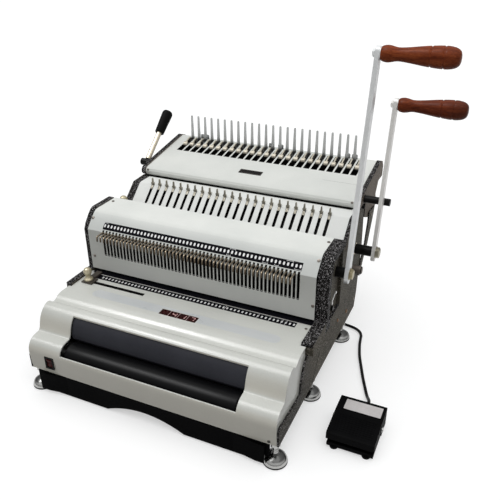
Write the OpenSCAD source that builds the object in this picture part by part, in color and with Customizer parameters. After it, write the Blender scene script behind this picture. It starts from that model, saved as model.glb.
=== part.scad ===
// Comb and coil binding machine: two punches, a comb opener, a roller coil
// inserter and a foot switch. Lengths in millimetres. Modelled with X to the
// right, Y to the back and Z up; origin under the middle of the machine's box.

/* [Body] */
// Half of the width between the side plates' inner faces
half_w = 203; // [202.8:0.1:203.4]
// Thickness of the side plates
plate_t = 3; // [2:0.5:4]
// Height of the inserter's top panel
panel_z = 127; // [126.8:0.1:127.2]
// Wall of the inserter cover
cover_t = 2; // [1.6:0.2:2.4]

/* [Coil inserter] */
// Diameter of the foam roller
roller_d = 40; // [36:1:40]
// Half length of the opening in front of the roller
open_half = 144.8; // [140:0.2:146]
// Diameter of the roller's shaft
roller_shaft_d = 8; // [6:1:10]

/* [Coil punch] */
// Number of round coil punches
coil_n = 54; // [48:1:54]
// Spacing of the coil holes, four to the inch
coil_pitch = 6.35; // [6:0.05:6.35]
// Diameter of a coil punch
coil_d = 4; // [3:0.5:4]
// Height of the long slots in the coil cover
coil_slot_h = 42; // [40:1:44]

/* [Comb punch] */
// Number of rectangular comb punches
comb_n = 24; // [20:1:24]
// Spacing of the comb holes, nine sixteenths of an inch
comb_pitch = 14.2875; // [14:0.0125:14.2875]
// Tilt of the comb punch panel from level
comb_tilt = 40.76; // [40:0.02:41]

/* [Comb opener] */
// Height of the opener's fingers above their root
finger_h = 78; // [70:1:80]
// Width of the slots in the opener's top
opener_slot_w = 11; // [9:0.5:11]

/* [Levers] */
// Pivot to grip on the front lever
front_len = 309; // [300:1:312]
// Lean of the front lever
front_lean = 12.5; // [11:0.5:13]
// Pivot to grip on the rear lever
rear_len = 236.6; // [230:0.1:238]
// Lean of the rear lever
rear_lean = 12; // [11:0.5:12.5]
// Lean of the small comb lever
comb_lean = 50; // [48:1:52]

/* [Feet] */
// Diameter of a levelling foot
foot_d = 34; // [30:1:36]

/* [Foot switch] */
// Width of the foot switch
pedal_w = 67.5; // [66:0.5:68]
// Diameter of the foot switch's cable
cord_d = 5; // [4.5:0.5:5]

/* [Hidden] */
$fn = 64;

// the part's own frame: origin under the middle of the box
x_lo = -224.5; x_hi = 343.5;
y_lo = -foot_d / 2; y_hi = 491;
sx = -(x_lo + x_hi) / 2;
sy = -(y_lo + y_hi) / 2;
module M() { translate([sx, sy, 0]) children(); }

// ---- small helpers ----
module prism(x0, x1, pts) { translate([x0, 0, 0]) rotate([90, 0, 90]) linear_extrude(x1 - x0) polygon(pts); }
module rod(x0, x1, r, y, z) { translate([x0, y, z]) rotate([0, 90, 0]) cylinder(r = r, h = x1 - x0); }
module blk(a, b) { translate(a) cube(b - a); }
module both() { children(); mirror([1, 0, 0]) children(); }
function rev(p) = [for (i = [len(p) - 1:-1:0]) p[i]];
function unit(v) = v / norm(v);
// offset of an open line to its right-hand side
function side(p, t) = [for (i = [0:len(p) - 1])
    let (a = p[max(i - 1, 0)], b = p[i], c = p[min(i + 1, len(p) - 1)],
         d1 = i == 0 ? unit(c - b) : unit(b - a), d2 = i == len(p) - 1 ? unit(b - a) : unit(c - b),
         n1 = [d1[1], -d1[0]], n2 = [d2[1], -d2[0]], m = unit(n1 + n2))
    b + m * t / max(0.5, m * n1)];
function skin(p, t) = concat(p, rev(side(p, t)));
// smooth line through points
function crp(a, b, c, d, t) = 0.5 * (2 * b + (c - a) * t + (2 * a - 5 * b + 4 * c - d) * t * t + (3 * b - a - 3 * c + d) * t * t * t);
function smooth(p, n) = concat([for (i = [0:len(p) - 2]) for (k = [0:n - 1])
    crp(p[max(i - 1, 0)], p[i], p[i + 1], p[min(i + 2, len(p) - 1)], k / n)], [p[len(p) - 1]]);
// tube swept along points
module tube(p, r, n = 8) {
    m = len(p);
    t = [for (i = [0:m - 1]) unit(p[min(i + 1, m - 1)] - p[max(i - 1, 0)])];
    s = [for (i = [0:m - 1]) unit(cross(t[i], abs(t[i][2]) > 0.9 ? [1, 0, 0] : [0, 0, 1]))];
    u = [for (i = [0:m - 1]) cross(s[i], t[i])];
    pts = [for (i = [0:m - 1]) for (k = [0:n - 1]) let (a = 360 * (k + 0.5) / n) p[i] + r * (cos(a) * s[i] + sin(a) * u[i])];
    faces = concat([[for (k = [0:n - 1]) k]],
        [for (i = [0:m - 2]) for (k = [0:n - 1]) let (j = (k + 1) % n) [i * n + k, (i + 1) * n + k, (i + 1) * n + j, i * n + j]],
        [[for (k = [n - 1:-1:0]) (m - 1) * n + k]]);
    polyhedron(pts, faces);
}

// ---- shared outlines and centres, (y, z) ----
plate_o = half_w + plate_t;
roller_c = [11.5, 65.5];
motor_c = [72, 65.5];
front_p = [207, 189];
rear_p = [328, 168.5];
lever_p = [361, 249.5];
comb_q = [268, 210];
insert_pts = [[-10.5, 38], [-11.6, 50], [-12.4, 62], [-12.4, 73], [-9, 82], [-1, 88.5], [8, 90.3], [14.2, 91.2],
    [17.6, 97], [20.2, 106], [25.5, 116], [33, 123.3], [40, 126.6], [46, 126.2], [50.6, 122.6], [54.5, 120.4], [60, 121.6],
    [66, 125.2], [73, panel_z], [86, panel_z], [100, panel_z], [125, panel_z], [150, panel_z]];
insert_line = smooth(insert_pts, 3);
coil_front = 152.5;
coil_line = [[coil_front, 132], [coil_front, 203.5], [157.5, 209.5], [166, 218.2], [174, 225.4], [178.5, 227.9], [183, 228.8], [233, 228.8], [235, 226.8], [235, 204]];
comb_line = [[266, 208.28], [296, 234.14], [299, 235.5], [333, 235.5]];
opener_line = [[334, 237.2], [331.6, 241], [331.2, 245], [333.4, 248.8], [338, 251.3], [346, 252.5], [471, 273.5], [474.5, 273], [476.5, 270], [476.5, 242]];
opener_tilt = atan2(21, 125);
side_pts = [[-11, 38], [-11, 61], [-8, 68.5], [62, 62], [70, 63], [73, 80], [78, 94], [86, 107.5], [95, 111], [239, 111], [239, 160], [258, 193],
    [270.5, 207], [301, 233.5], [334, 235], [350, 233], [366, 224], [369, 200], [373, 158], [372, 126], [366, 96], [364, 66], [358, 47], [355, 38]];
// thick front rim of the comb punch's flanks
rim_pts = [[256.5, 198], [267, 210.5], [296.5, 235.8], [330, 235.8], [330, 224], [300, 224], [276, 203], [266, 190]];
end_pts = [[96, 112], [96, 130.5], [156, 130.5], [156.5, 200], [161, 209], [170, 219.5], [178, 227.3], [184, 230], [231, 230], [231, 112]];
end_in = [[168, 124], [168, 199], [177, 212], [188, 219], [221, 219], [221, 124]];
opener_end = [[334, 237], [330, 241.5], [330, 246.5], [333, 250.5], [339, 253.3], [346, 254.5], [470, 275.3], [483, 271], [491, 261], [491, 241],
    [462, 241], [448, 222], [458, 198], [438, 193], [398, 196], [374, 206], [370, 237]];
strut_pts = [[400, 206], [437, 203], [433, 190], [406, 143], [388, 127], [374, 111], [365, 97], [357, 104], [368, 126], [386, 148], [397, 187]];
feet_at = [for (y = [0, 143.6, 306]) for (x = [-197, 197]) [x, y]];

// local frames: along and across the comb panel, and along the opener's top
module comb_frame() { translate([0, comb_q[0], comb_q[1]]) rotate([comb_tilt, 0, 0]) children(); }
module opener_frame() { translate([0, 346, 252.5]) rotate([opener_tilt, 0, 0]) children(); }
function coil_x(i) = (i - (coil_n - 1) / 2) * coil_pitch;
function comb_x(i) = (i - (comb_n - 1) / 2) * comb_pitch + 3;
function finger_x(i) = (i - (comb_n - 1) / 2) * comb_pitch - 5.5;
function hook_x(i) = (i - comb_n / 2) * comb_pitch;

// ================= base and frame =================
module base_pan() {
    color([0.2, 0.2, 0.2]) M() difference() {
        union() {
            blk([-202.6, -6, 37], [202.6, 349, 39]);
            blk([-190, -6, 39], [190, -4.5, 46]);
            for (y = [160, 320]) blk([-200, y, 39], [186, y + 10, 46.7]);
        }
        for (f = feet_at) translate([f[0], f[1], 30]) cylinder(r = 4.15, h = 20);
    }
}
module front_skirt() {
    color([0.08, 0.08, 0.08]) M() difference() {
        translate([0, -9, 0]) rotate([90, 0, 0]) linear_extrude(2)
            polygon([[-193, 36.8], [-193, 16], [-179, 15], [-179, 2.5], [179, 2.5], [179, 15], [193, 16], [193, 36.8]]);
        blk([-55, -12, 0], [49, -8, 18.4]);
        for (x = [-55, 49]) translate([x, -8, 5]) rotate([90, 0, 0]) cylinder(r = 13.4, h = 4);
    }
}
module side_plate(tray) {
    difference() {
        union() {
            prism(half_w, plate_o, side_pts);
            if (tray) { prism(189.3, 198.5, rim_pts); prism(197.5, half_w + 0.5, [for (q = rim_pts) q + [3, -7]]); }
            else prism(199.8, plate_o, rim_pts);
        }
        rod(half_w - 1, plate_o + 1, 10.05, rear_p[0], rear_p[1]);
        if (tray) blk([half_w - 1, 150.5, 45.5], [plate_o + 1, 327.5, 86]);
    }
}
module side_plate_left() { color([0.22, 0.2, 0.19]) M() mirror([1, 0, 0]) side_plate(true); }
module side_plate_right() { color([0.22, 0.2, 0.19]) M() side_plate(false); }
module rear_panel() {
    color([0.2, 0.19, 0.18]) M() difference() {
        blk([-202.6, 350, 39.2], [202.6, 351.5, 232.5]);
        translate([150, 349, 46]) rotate([-90, 0, 0]) cylinder(r = 5.05, h = 4);
        blk([-134.1, 349, 55.9], [-105.9, 353, 76.1]);
        for (i = [0:7]) blk([-60 + i * 14, 349, 90], [-56 + i * 14, 353, 150]);
    }
}
module rear_struts() {
    color([0.2, 0.19, 0.18]) M() both() prism(plate_o + 0.2, plate_o + 3, strut_pts);
}
module levelling_feet() {
    color("silver") M() for (f = feet_at) translate([f[0], f[1], 0]) {
        rotate_extrude() polygon([[0, 0], [foot_d / 2 - 1, 0], [foot_d / 2, 1.5], [foot_d / 2, 4.5], [foot_d / 2 - 1.5, 8],
            [12, 11], [8, 13], [5.5, 14], [4, 17], [4, 44], [0, 44]]);
        translate([0, 0, 29]) difference() { cylinder(r = 7.5, h = 7, $fn = 6); translate([0, 0, -1]) cylinder(r = 4.1, h = 9); }
    }
}

// ================= coil inserter =================
module inserter_cover() {
    line = insert_line;
    color([0.86, 0.86, 0.84]) M() difference() {
        union() {
            prism(-202.8, 202.8, skin(line, cover_t));
            both() prism(200.4, 202.8, concat([for (p = line) if (p[0] <= 94) p], [[94, 104], [80, 92], [68, 56], [-8, 52]]));
        }
        // opening in front of the roller
        blk([-open_half, -40, 75.2], [open_half, 31.4, 150]);
        // room for the punch's end plates
        blk([194.6, 94, 90], [216, 160, 140]);
        blk([-216, 94, 90], [-198.6, 160, 140]);
        // display window, guide slot, switch hole
        blk([-27.7, 82.8, 120], [34.7, 97, 135]);
        blk([-184.6, 115.9, 120], [-77, 120.7, 135]);
        blk([-172.7, -20, 48.3], [-158.3, 0, 67.9]);
    }
}
module trough_liner() {
    arcp = [for (a = [52:-12:-92]) roller_c + 22 * [cos(a), sin(a)]];
    line = concat([[33.6, 118.6], [27.8, 113.6], [23.6, 105], [21.2, 96], [21, 89]], arcp);
    color([0.16, 0.16, 0.18]) M() prism(-144.3, 144.3, skin(rev(line), 1.2));
}
module display_lens() {
    color([0.3, 0.03, 0.03]) M() blk([-27.5, 83, 124.4], [34.5, 96.8, panel_z - 0.2]);
}
module roller_brackets() {
    color("gray") M() both() difference() {
        union() { blk([150, -3, 39], [153, 26, 78]); blk([153, -3, 39], [163, 26, 41]); }
        rod(149, 154, roller_shaft_d / 2 + 0.05, roller_c[0], roller_c[1]);
    }
}
module roller() {
    color([0.07, 0.07, 0.08]) M() difference() {
        rod(-142, 142, roller_d / 2, roller_c[0], roller_c[1]);
        rod(-143, 143, roller_shaft_d / 2 + 0.02, roller_c[0], roller_c[1]);
    }
}
module roller_shaft() {
    color("silver") M() {
        rod(-156, 170, roller_shaft_d / 2, roller_c[0], roller_c[1]);
        rod(160, 168, 12, roller_c[0], roller_c[1]);
    }
}
module motor() {
    color([0.35, 0.35, 0.37]) M() difference() {
        union() {
            rod(86, 156, 26, motor_c[0], motor_c[1]);
            rod(76, 87, 12, motor_c[0], motor_c[1]);
            blk([92, 52, 39], [150, 92, 50]);
        }
        rod(146, 157, 3.05, motor_c[0], motor_c[1]);
    }
}
module motor_pulley() {
    color("silver") M() {
        rod(147, 172, 3, motor_c[0], motor_c[1]);
        rod(160, 168, 12, motor_c[0], motor_c[1]);
    }
}
module belt_2d(r) {
    translate(roller_c) circle(r = r);
    translate(motor_c) circle(r = r);
    translate([roller_c[0], roller_c[1] - r]) square([motor_c[0] - roller_c[0], 2 * r]);
}
module drive_belt() {
    color([0.05, 0.05, 0.05]) M() translate([161, 0, 0]) rotate([90, 0, 90]) linear_extrude(6)
        difference() { belt_2d(14.3); belt_2d(12.35); }
}
module control_board() {
    color([0.1, 0.35, 0.15]) M() {
        blk([-150, 48, 46], [-30, 128, 47.6]);
        for (x = [-145, -35]) for (y = [53, 123]) translate([x, y, 39]) cylinder(r = 3, h = 7.5);
        blk([-146, 60, 47.5], [-106, 96, 80]);
        for (i = [0:3]) translate([-92 + i * 14, 66, 47.5]) cylinder(r = 5, h = 18);
        blk([-96, 84, 47.5], [-40, 118, 56]);
    }
}
module mains_inlet() {
    color([0.06, 0.06, 0.06]) M() difference() {
        union() { blk([-134, 330, 56], [-106, 352, 76]); blk([-142, 351.6, 53], [-98, 354, 79]); }
        blk([-131, 337, 59], [-109, 356, 73]);
    }
}
module rocker_bezel() {
    color([0.06, 0.06, 0.06]) M() difference() {
        union() { blk([-173.5, -13.8, 47.5], [-157.5, -12.6, 68.7]); blk([-172.5, -13, 48.5], [-158.5, 8, 67.7]); }
        blk([-171, -15, 50], [-160, 3, 66.2]);
        rod(-174, -157, 1.05, -10, 58.1);
    }
}
module rocker() {
    color([0.35, 0.05, 0.06]) M() {
        prism(-170.6, -160.4, [[-14.6, 64.7], [-12.2, 58.1], [-13.1, 51.5], [-9, 51.3], [-5, 55], [-5, 61.2], [-9, 64.9]]);
        rod(-172.4, -158.6, 1, -10, 58.1);
    }
}
// ---- edge guides ----
module guide_knob(x, y, z) {
    translate([x, y, z]) difference() {
        rotate_extrude() polygon([[0, 0], [7, 0], [7.5, 0.6], [7.5, 2.6], [6.4, 3.8], [4.8, 5.4], [4.2, 7.4], [4.4, 9.2], [5.6, 11], [6.6, 13.6], [6.8, 16], [6.4, 18.4], [5.2, 20.6], [3.2, 22.1], [0, 22.7]]);
        translate([0, 0, -1]) cylinder(r = 2.05, h = 10.5);
    }
}
module coil_guide() {
    color([0.2, 0.2, 0.2]) M() {
        blk([-190.5, 109.5, panel_z + 0.3], [-170, 127, panel_z + 2.4]);
        blk([-186.2, 126.2, panel_z + 0.3], [-176, 147, panel_z + 4]);
        translate([-182, 118.3, 119.5]) cylinder(r = 2, h = panel_z + 9.5 - 119.5);
        translate([-182, 118.3, 119.5]) cylinder(r = 5, h = 5);
    }
}
module coil_guide_knob() { color([0.8, 0.75, 0.55]) M() guide_knob(-182, 118.3, panel_z + 2.7); }
module throat_shelf() {
    color([0.12, 0.12, 0.12]) M() difference() {
        union() { blk([-202.6, 239.4, 200.5], [202.6, 255, 202]); blk([-202.6, 239.4, 185], [202.6, 241, 201]); }
        blk([-196, 244.9, 199], [-138, 250.1, 204]);
    }
}
module comb_guide() {
    color([0.2, 0.2, 0.2]) M() {
        blk([-200, 242, 202.3], [-184, 254, 204.4]);
        translate([-192, 247.5, 196]) cylinder(r = 2, h = 17.5);
        translate([-192, 247.5, 195]) cylinder(r = 4.5, h = 5.2);
    }
}
module comb_guide_knob() { color([0.8, 0.75, 0.55]) M() guide_knob(-192, 247.5, 204.7); }

// ================= coil punch =================
module coil_cover() {
    color([0.85, 0.85, 0.83]) M() difference() {
        prism(-198.8, 194.8, skin(coil_line, 1.5));
        for (i = [0:coil_n - 1]) blk([coil_x(i) - 1.6, 150, 162], [coil_x(i) + 1.6, 160, 164 + coil_slot_h]);
    }
}
module coil_end_plate(x0, x1) {
    difference() {
        prism(x0, x1, end_pts);
        prism(x0 + 5, x1 + 1, end_in);
        rod(x0 - 1, x1 + 1, 10.05, front_p[0], front_p[1]);
    }
}
module coil_end_plate_left() { color([0.2, 0.19, 0.18]) M() mirror([1, 0, 0]) coil_end_plate(199, 209.5); }
module coil_end_plate_right() { color([0.2, 0.19, 0.18]) M() coil_end_plate(195, 213); }
module coil_die_block() {
    color("dimgray") M() difference() {
        prism(-190, 190, [[158, 104], [192, 104], [192, 146], [158, 146], [158, 131.8], [178, 131.8], [178, panel_z], [158, panel_z]]);
        for (i = [0:coil_n - 1]) translate([coil_x(i), 166, 103]) cylinder(r = coil_d / 2 + 0.06, h = 44, $fn = 24);
    }
}
module coil_press_bar() {
    color("darkgray") M() difference() {
        union() {
            blk([-186, 158.5, 193], [186, 174, 207]);
            for (i = [0:coil_n - 1]) translate([coil_x(i), 166, 134]) cylinder(r = coil_d / 2, h = 60, $fn = 24);
            both() prism(120, 126, [[173, 190], [199, 190], [199, 194.3], [187, 194.3], [187, 203.7], [199, 203.7], [199, 208], [173, 208]]);
        }
        for (i = [0:coil_n - 2]) translate([coil_x(i), 157, 203]) rotate([-90, 0, 0]) cylinder(r = 1.35, h = 14.5, $fn = 24);
    }
}
module coil_pull_pins() {
    color([0.72, 0.68, 0.55]) M() for (i = [0:coil_n - 2]) translate([coil_x(i), 0, 0]) {
        translate([0, 135.5, 203]) rotate([-90, 0, 0]) cylinder(r = 1.3, h = 35, $fn = 24);
        blk([-1.3, 133.6, 194.4], [1.3, 136.2, 204.3]);
    }
}

// ================= comb punch =================
module comb_cover() {
    color([0.86, 0.86, 0.84]) M() difference() {
        prism(-189, 199.5, skin(comb_line, 1.5));
        for (i = [0:comb_n - 1]) comb_frame() blk([comb_x(i) - 2, 1.5, -4], [comb_x(i) + 2, 41.5, 4]);
    }
}
module comb_die_block() {
    color("dimgray") M() comb_frame() difference() {
        prism(-188.9, 190, [[-21, -26], [2, -26], [2, -3], [-4.5, -3], [-4.5, -18], [-11.5, -18], [-11.5, -3], [-21, -3]]);
        for (i = [0:comb_n - 1]) blk([comb_x(i) - 4.2, -22, -14.7], [comb_x(i) + 4.2, 3, -11.3]);
    }
}
module comb_press_bar() {
    color("darkgray") M() comb_frame() difference() {
        union() {
            blk([-186, 30, -18.5], [186, 44, -8.5]);
            for (i = [0:comb_n - 1]) blk([comb_x(i) - 4, -3.5, -14.5], [comb_x(i) + 4, 31, -11.5]);
            both() prism(120, 126, [[30, -17], [43, -17], [43, -34], [34, -42], [34, -62], [30, -62], [30, -54.3], [20.6, -54.3], [20.6, -62], [17, -62], [17, -42], [28, -32]]);
        }
        for (i = [0:comb_n - 1]) translate([comb_x(i), 39.2, -17.5]) cylinder(r = 1.55, h = 10, $fn = 24);
    }
}
module comb_pull_pins() {
    color([0.75, 0.7, 0.55]) M() comb_frame() for (i = [0:comb_n - 1]) translate([comb_x(i), 39.2, 0]) {
        translate([0, 0, -16.5]) cylinder(r = 1.5, h = 20, $fn = 24);
        translate([0, 1.6, 0]) rotate([90, 0, 0]) linear_extrude(3.2)
            polygon([[-1.7, 1.2], [1.7, 1.2], [3.2, 4.6], [3, 6], [1.3, 7.2], [0.6, 14.8], [-0.6, 14.8], [-1.3, 7.2], [-3, 6], [-3.2, 4.6]]);
    }
}

// ================= shafts and levers =================
// crank arm with its pin, in the plane of the shaft
module crank(x0, p, r, a) {
    q = p + r * [cos(a), sin(a)];
    rod(x0, x0 + 6, 10, p[0], p[1]);
    translate([x0, p[0], p[1]]) rotate([a, 0, 0]) rotate([90, 0, 90]) linear_extrude(6)
        polygon([[0, -5.6], [r + 3, -5.6], [r + 5.6, -3], [r + 5.6, 3], [r + 3, 5.6], [0, 5.6]]);
    rod(x0 - 8.5, x0 + 3, 4, q[0], q[1]);
}
front_r = 20 / (2 * sin(42.5));
rear_r = 14 / (2 * sin(40));
module front_shaft() {
    color([0.08, 0.08, 0.08]) M() {
        rod(-202, 229, 6, front_p[0], front_p[1]);
        rod(201, 221.8, 8, front_p[0], front_p[1]);
        rod(228.7, 232.5, 6.9, front_p[0], front_p[1]);
        both() crank(127.2, front_p, front_r, 180 - 42.5);
    }
}
module rear_shaft() {
    color([0.08, 0.08, 0.08]) M() {
        rod(-207, 241, 6, rear_p[0], rear_p[1]);
        rod(plate_o + 0.6, 233.8, 8.5, rear_p[0], rear_p[1]);
        rod(240.2, 246, 8, rear_p[0], rear_p[1]);
        both() crank(127.2, rear_p, rear_r, 90 + comb_tilt - 40);
    }
}
module lever_bar(x0, x1, p, lean, l) {
    translate([0, p[0], p[1]]) rotate([-lean, 0, 0]) difference() {
        union() {
            rod(x0, x1, 7.5, 0, -8);
            rod(x0, x1, 7.5, 0, l + 2);
            blk([x0, -7.5, -8], [x1, 7.5, l + 2]);
        }
        rod(x0 - 1, x1 + 1, 6.05, 0, 0);
        rod(x0 - 1, x1 + 1, 3.05, 0, l);
    }
}
module front_lever_bar() { color([0.88, 0.89, 0.9]) M() lever_bar(222, 228.5, front_p, front_lean, front_len); }
module rear_lever_bar() { color([0.86, 0.87, 0.87]) M() lever_bar(234, 240, rear_p, rear_lean, rear_len); }
grip_pts = [[0, 6.8], [1.2, 8.8], [4.5, 10.5], [9.5, 11.2], [14.5, 10.6], [19, 9.5], [23.5, 8.9], [30, 9.2], [40, 10.3], [50, 11.7],
    [60, 13], [64, 13.4], [64.6, 12.8], [65.6, 12.8], [66.2, 13.6], [75, 14.3], [80.8, 14.5], [81.4, 13.9], [82.4, 13.9], [83, 14.5],
    [89, 14.2], [95, 13], [99, 11], [101.5, 8.4], [102.5, 6]];
module grip(x0, p, lean, l) {
    translate([0, p[0], p[1]]) rotate([-lean, 0, 0]) {
        translate([x0, 0, l]) rotate([0, 90, 0]) rotate_extrude()
            polygon(concat([[0, 0]], [for (q = grip_pts) [q[1], q[0]]], [[0, 103]]));
        rod(x0 - 6.4, x0 + 1, 3, 0, l);
    }
}
module front_grip() { color([0.5, 0.24, 0.13]) M() grip(228.7, front_p, front_lean, front_len); }
module rear_grip() { color([0.4, 0.17, 0.1]) M() grip(240.5, rear_p, rear_lean, rear_len); }
module shaft_bushes() {
    color([0.7, 0.6, 0.35]) M() {
        difference() {
            union() { rod(193, 200, 10, front_p[0], front_p[1]); rod(-204, -193, 10, front_p[0], front_p[1]); }
            rod(-205, 201, 6.05, front_p[0], front_p[1]);
        }
        both() difference() { rod(200, plate_o, 10, rear_p[0], rear_p[1]); rod(199, plate_o + 1, 6.05, rear_p[0], rear_p[1]); }
    }
}
module lever_stop_rod() {
    color([0.05, 0.05, 0.05]) M() rod(plate_o + 0.2, 249, 6, 359.2, 246);
    color([0.25, 0.22, 0.2]) M() rod(plate_o + 0.2, 227, 6.5, 294.6, 148.6);
}

// ================= comb opener =================
module opener_cover() {
    color([0.86, 0.86, 0.84]) M() difference() {
        prism(-197.8, 197.8, skin(opener_line, 1.5));
        for (i = [0:comb_n]) opener_frame() blk([hook_x(i) - opener_slot_w / 2, 66, -6], [hook_x(i) + opener_slot_w / 2, 121.5, 4]);
    }
}
module opener_end_plate() {
    difference() {
        prism(198, plate_o, opener_end);
        rod(197, plate_o + 1, 3.55, lever_p[0], lever_p[1]);
    }
}
module opener_end_plate_left() { color([0.2, 0.19, 0.18]) M() mirror([1, 0, 0]) opener_end_plate(); }
module opener_end_plate_right() { color([0.2, 0.19, 0.18]) M() opener_end_plate(); }
module opener_comb_plate() {
    color([0.62, 0.63, 0.63]) M() {
        blk([-197.8, 463, 240], [197.8, 464.5, 264]);
        blk([-197.8, 385, 238.5], [197.8, 464.5, 240.2]);
        for (i = [0:comb_n - 1]) translate([finger_x(i), 464.5, 264]) rotate([90, 0, 0]) linear_extrude(1.5)
            polygon(concat([[-3.2, 0], [3.2, 0], [3.2, 10], [2, finger_h - 26]],
                [for (k = [1:5]) [2 * cos(k * 30), finger_h - 26 + 2 * sin(k * 30)]], [[-2, finger_h - 26], [-3.2, 10]]));
    }
}
module hook_bar() {
    color([0.75, 0.72, 0.6]) M() opener_frame() {
        blk([-182, 96, -17], [182, 111, -6.5]);
        for (i = [0:comb_n]) translate([hook_x(i), 0, 0]) {
            blk([-2.2, 100, -7], [2.2, 104.5, 6.5]);
            blk([-2.2, 100, 3.5], [2.2, 112.5, 6.5]);
        }
        both() blk([188, 40, -17], [192, 111, -9]);
        both() blk([181, 96, -17], [190, 111, -9]);
    }
}
module lever_shaft() {
    color([0.08, 0.08, 0.08]) M() {
        rod(-224.5, 205, 3.5, lever_p[0], lever_p[1]);
        rod(-224.5, -plate_o - 1, 6.5, lever_p[0], lever_p[1]);
        both() prism(180, 185, [[357, 250], [357, 238], [361, 236], [365, 238], [365, 250]]);
    }
}
module comb_lever_rod() {
    color("silver") M() translate([-214.2, lever_p[0], lever_p[1]]) rotate([-comb_lean, 0, 0])
        translate([0, 0, 6.6]) cylinder(r = 4.9, h = 80);
}
module comb_lever_grip() {
    color([0.06, 0.06, 0.06]) M() translate([-214.2, lever_p[0], lever_p[1]]) rotate([-comb_lean, 0, 0]) difference() {
        rotate_extrude() polygon([[0, 66], [8, 66], [8.7, 67], [10.2, 108], [9.9, 111.5], [8.6, 114], [6, 115.3], [0, 115.8]]);
        translate([0, 0, 60]) cylinder(r = 4.93, h = 27);
    }
}
module cover_screws() {
    color("silver") M() {
        both() translate([191.5, coil_front - 1.2, 156]) rotate([-90, 0, 0]) cylinder(r = 2.5, h = 1.2);
        for (q = [[-196, 166.5, 218.65], [191.5, 170, 221.8]]) translate(q) rotate([42, 0, 0]) cylinder(r = 2.5, h = 1.2);
        both() translate([191, 217, 228.8]) cylinder(r = 2.5, h = 1.2);
        both() translate([193, 332.15, 246.99]) rotate([59.93, 0, 0]) cylinder(r = 2, h = 1.2);
        both() translate([192, -11.12, 43.5]) rotate([95.4, 0, 0]) cylinder(r = 2.2, h = 1.4);
        both() translate([189, 134, panel_z]) cylinder(r = 2.2, h = 1);
        both() translate([plate_o + 3, 414, 196]) rotate([0, 90, 0]) cylinder(r = 3.5, h = 2);
        both() translate([plate_o + 3, 367, 110]) rotate([0, 90, 0]) cylinder(r = 3, h = 2);
    }
}
module chip_tray() {
    color([0.15, 0.15, 0.15]) M() {
        difference() {
            blk([-207, 152, 47], [188, 326, 84]);
            blk([-205.5, 153.5, 48.5], [186.5, 324.5, 90]);
        }
        blk([-209, 146, 43], [-206.2, 332, 92]);
        difference() { blk([-217, 215, 70], [-208.5, 275, 78]); blk([-214, 214, 69], [-208.9, 276, 75]); }
    }
}

// ================= foot switch and cable =================
px0 = 251; px1 = px0 + pedal_w;
module pedal_base() {
    color([0.07, 0.07, 0.07]) M() difference() {
        union() {
            blk([px0 + 1, 53, 3], [px1 - 1, 126, 9]);
            blk([px0, 98.9, 3], [px1, 126, 33]);
            for (x = [px0 + 12, px1 - 16]) { blk([x, 88, 9], [x + 4, 100, 24]); }
            for (x = [px0 + 11, px1 - 11]) for (y = [57, 116]) translate([x, y, 0]) cylinder(r = 6, h = 3.5);
            translate([288, 125, 14]) rotate([-90, 0, 0]) cylinder(r1 = 6, r2 = 3.6, h = 14);
        }
        rod(px0 - 1, px1 + 1, 2, 94, 20);
        translate([288, 120, 14]) rotate([-90, 0, 0]) cylinder(r = cord_d / 2 + 0.05, h = 20);
    }
}
module pedal_tread() {
    color([0.05, 0.05, 0.05]) M() difference() {
        prism(px0, px1, [[51, 16.5], [51, 27], [53, 28.5], [96, 33], [98.1, 33], [98.1, 15.5], [90, 14]]);
        prism(px0 + 2.5, px1 - 2.5, [[53.5, 10], [53.5, 25], [96, 29.8], [104, 29.8], [104, 10]]);
        rod(px0 - 1, px1 + 1, 2.05, 94, 20);
    }
}
module pedal_pin() {
    color("silver") M() {
        rod(px0 - 0.5, px1 + 0.5, 2, 94, 20);
        rod(px1 + 0.3, px1 + 2.6, 4, 94, 20);
        rod(px0 - 2.6, px0 - 0.3, 4, 94, 20);
    }
}
module cable_gland() {
    color([0.06, 0.06, 0.06]) M() translate([150, 0, 46]) rotate([-90, 0, 0]) difference() {
        union() {
            translate([0, 0, 345]) cylinder(r = 5, h = 9);
            translate([0, 0, 351.6]) cylinder(r = 8, h = 4, $fn = 6);
            translate([0, 0, 355.5]) cylinder(r1 = 6.5, r2 = 3.6, h = 20);
        }
        translate([0, 0, 340]) cylinder(r = cord_d / 2 + 0.05, h = 40);
    }
}
coil_c = [117.5, 442.5];
route_a = [[150, 366, 46], [150, 373, 46], [150, 380, 46], [150, 388.5, 45], [150.1, 396.5, 42.2], [150.2, 403.7, 37.8], [150.3, 410, 32],
    [150.3, 416.3, 26.2], [150.4, 423.5, 21.8], [150.4, 431.5, 18.9]];
route_b = [[117.5, 409.6, 2.5], [132, 408.2, 2.5], [145, 402.8, 2.5], [154.5, 393.5, 2.5], [161, 382, 2.5], [166.5, 370, 2.5], [174, 359, 2.5],
    [184, 350.5, 2.5], [196, 345, 2.5], [208, 342.5, 2.5], [218, 339, 2.5], [226, 332.5, 2.5], [230.8, 323.5, 2.5], [232.8, 312, 2.5],
    [235, 299, 2.5], [238.5, 284, 2.5], [244, 264, 2.5], [253, 239, 2.5], [262.5, 213.5, 2.5], [270.3, 194.5, 2.5], [275.3, 182.5, 2.5],
    [279, 173.7, 3.1], [282, 166.7, 5.1], [284.6, 160, 8.3], [286.5, 153.5, 11.4], [287.6, 147, 13.4], [288, 140, 14], [288, 133, 14], [288, 126, 14]];
module pedal_cord_a() { color([0.05, 0.05, 0.05]) M() tube(smooth(route_a, 2), cord_d / 2); }
module pedal_cord_b() { color([0.05, 0.05, 0.05]) M() tube(smooth(route_b, 2), cord_d / 2); }
module cord_coil() {
    color([0.05, 0.05, 0.05]) M() translate([coil_c[0], coil_c[1], 0]) rotate_extrude() translate([22.4, 0]) square([13.2, 20.4]);
}

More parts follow.
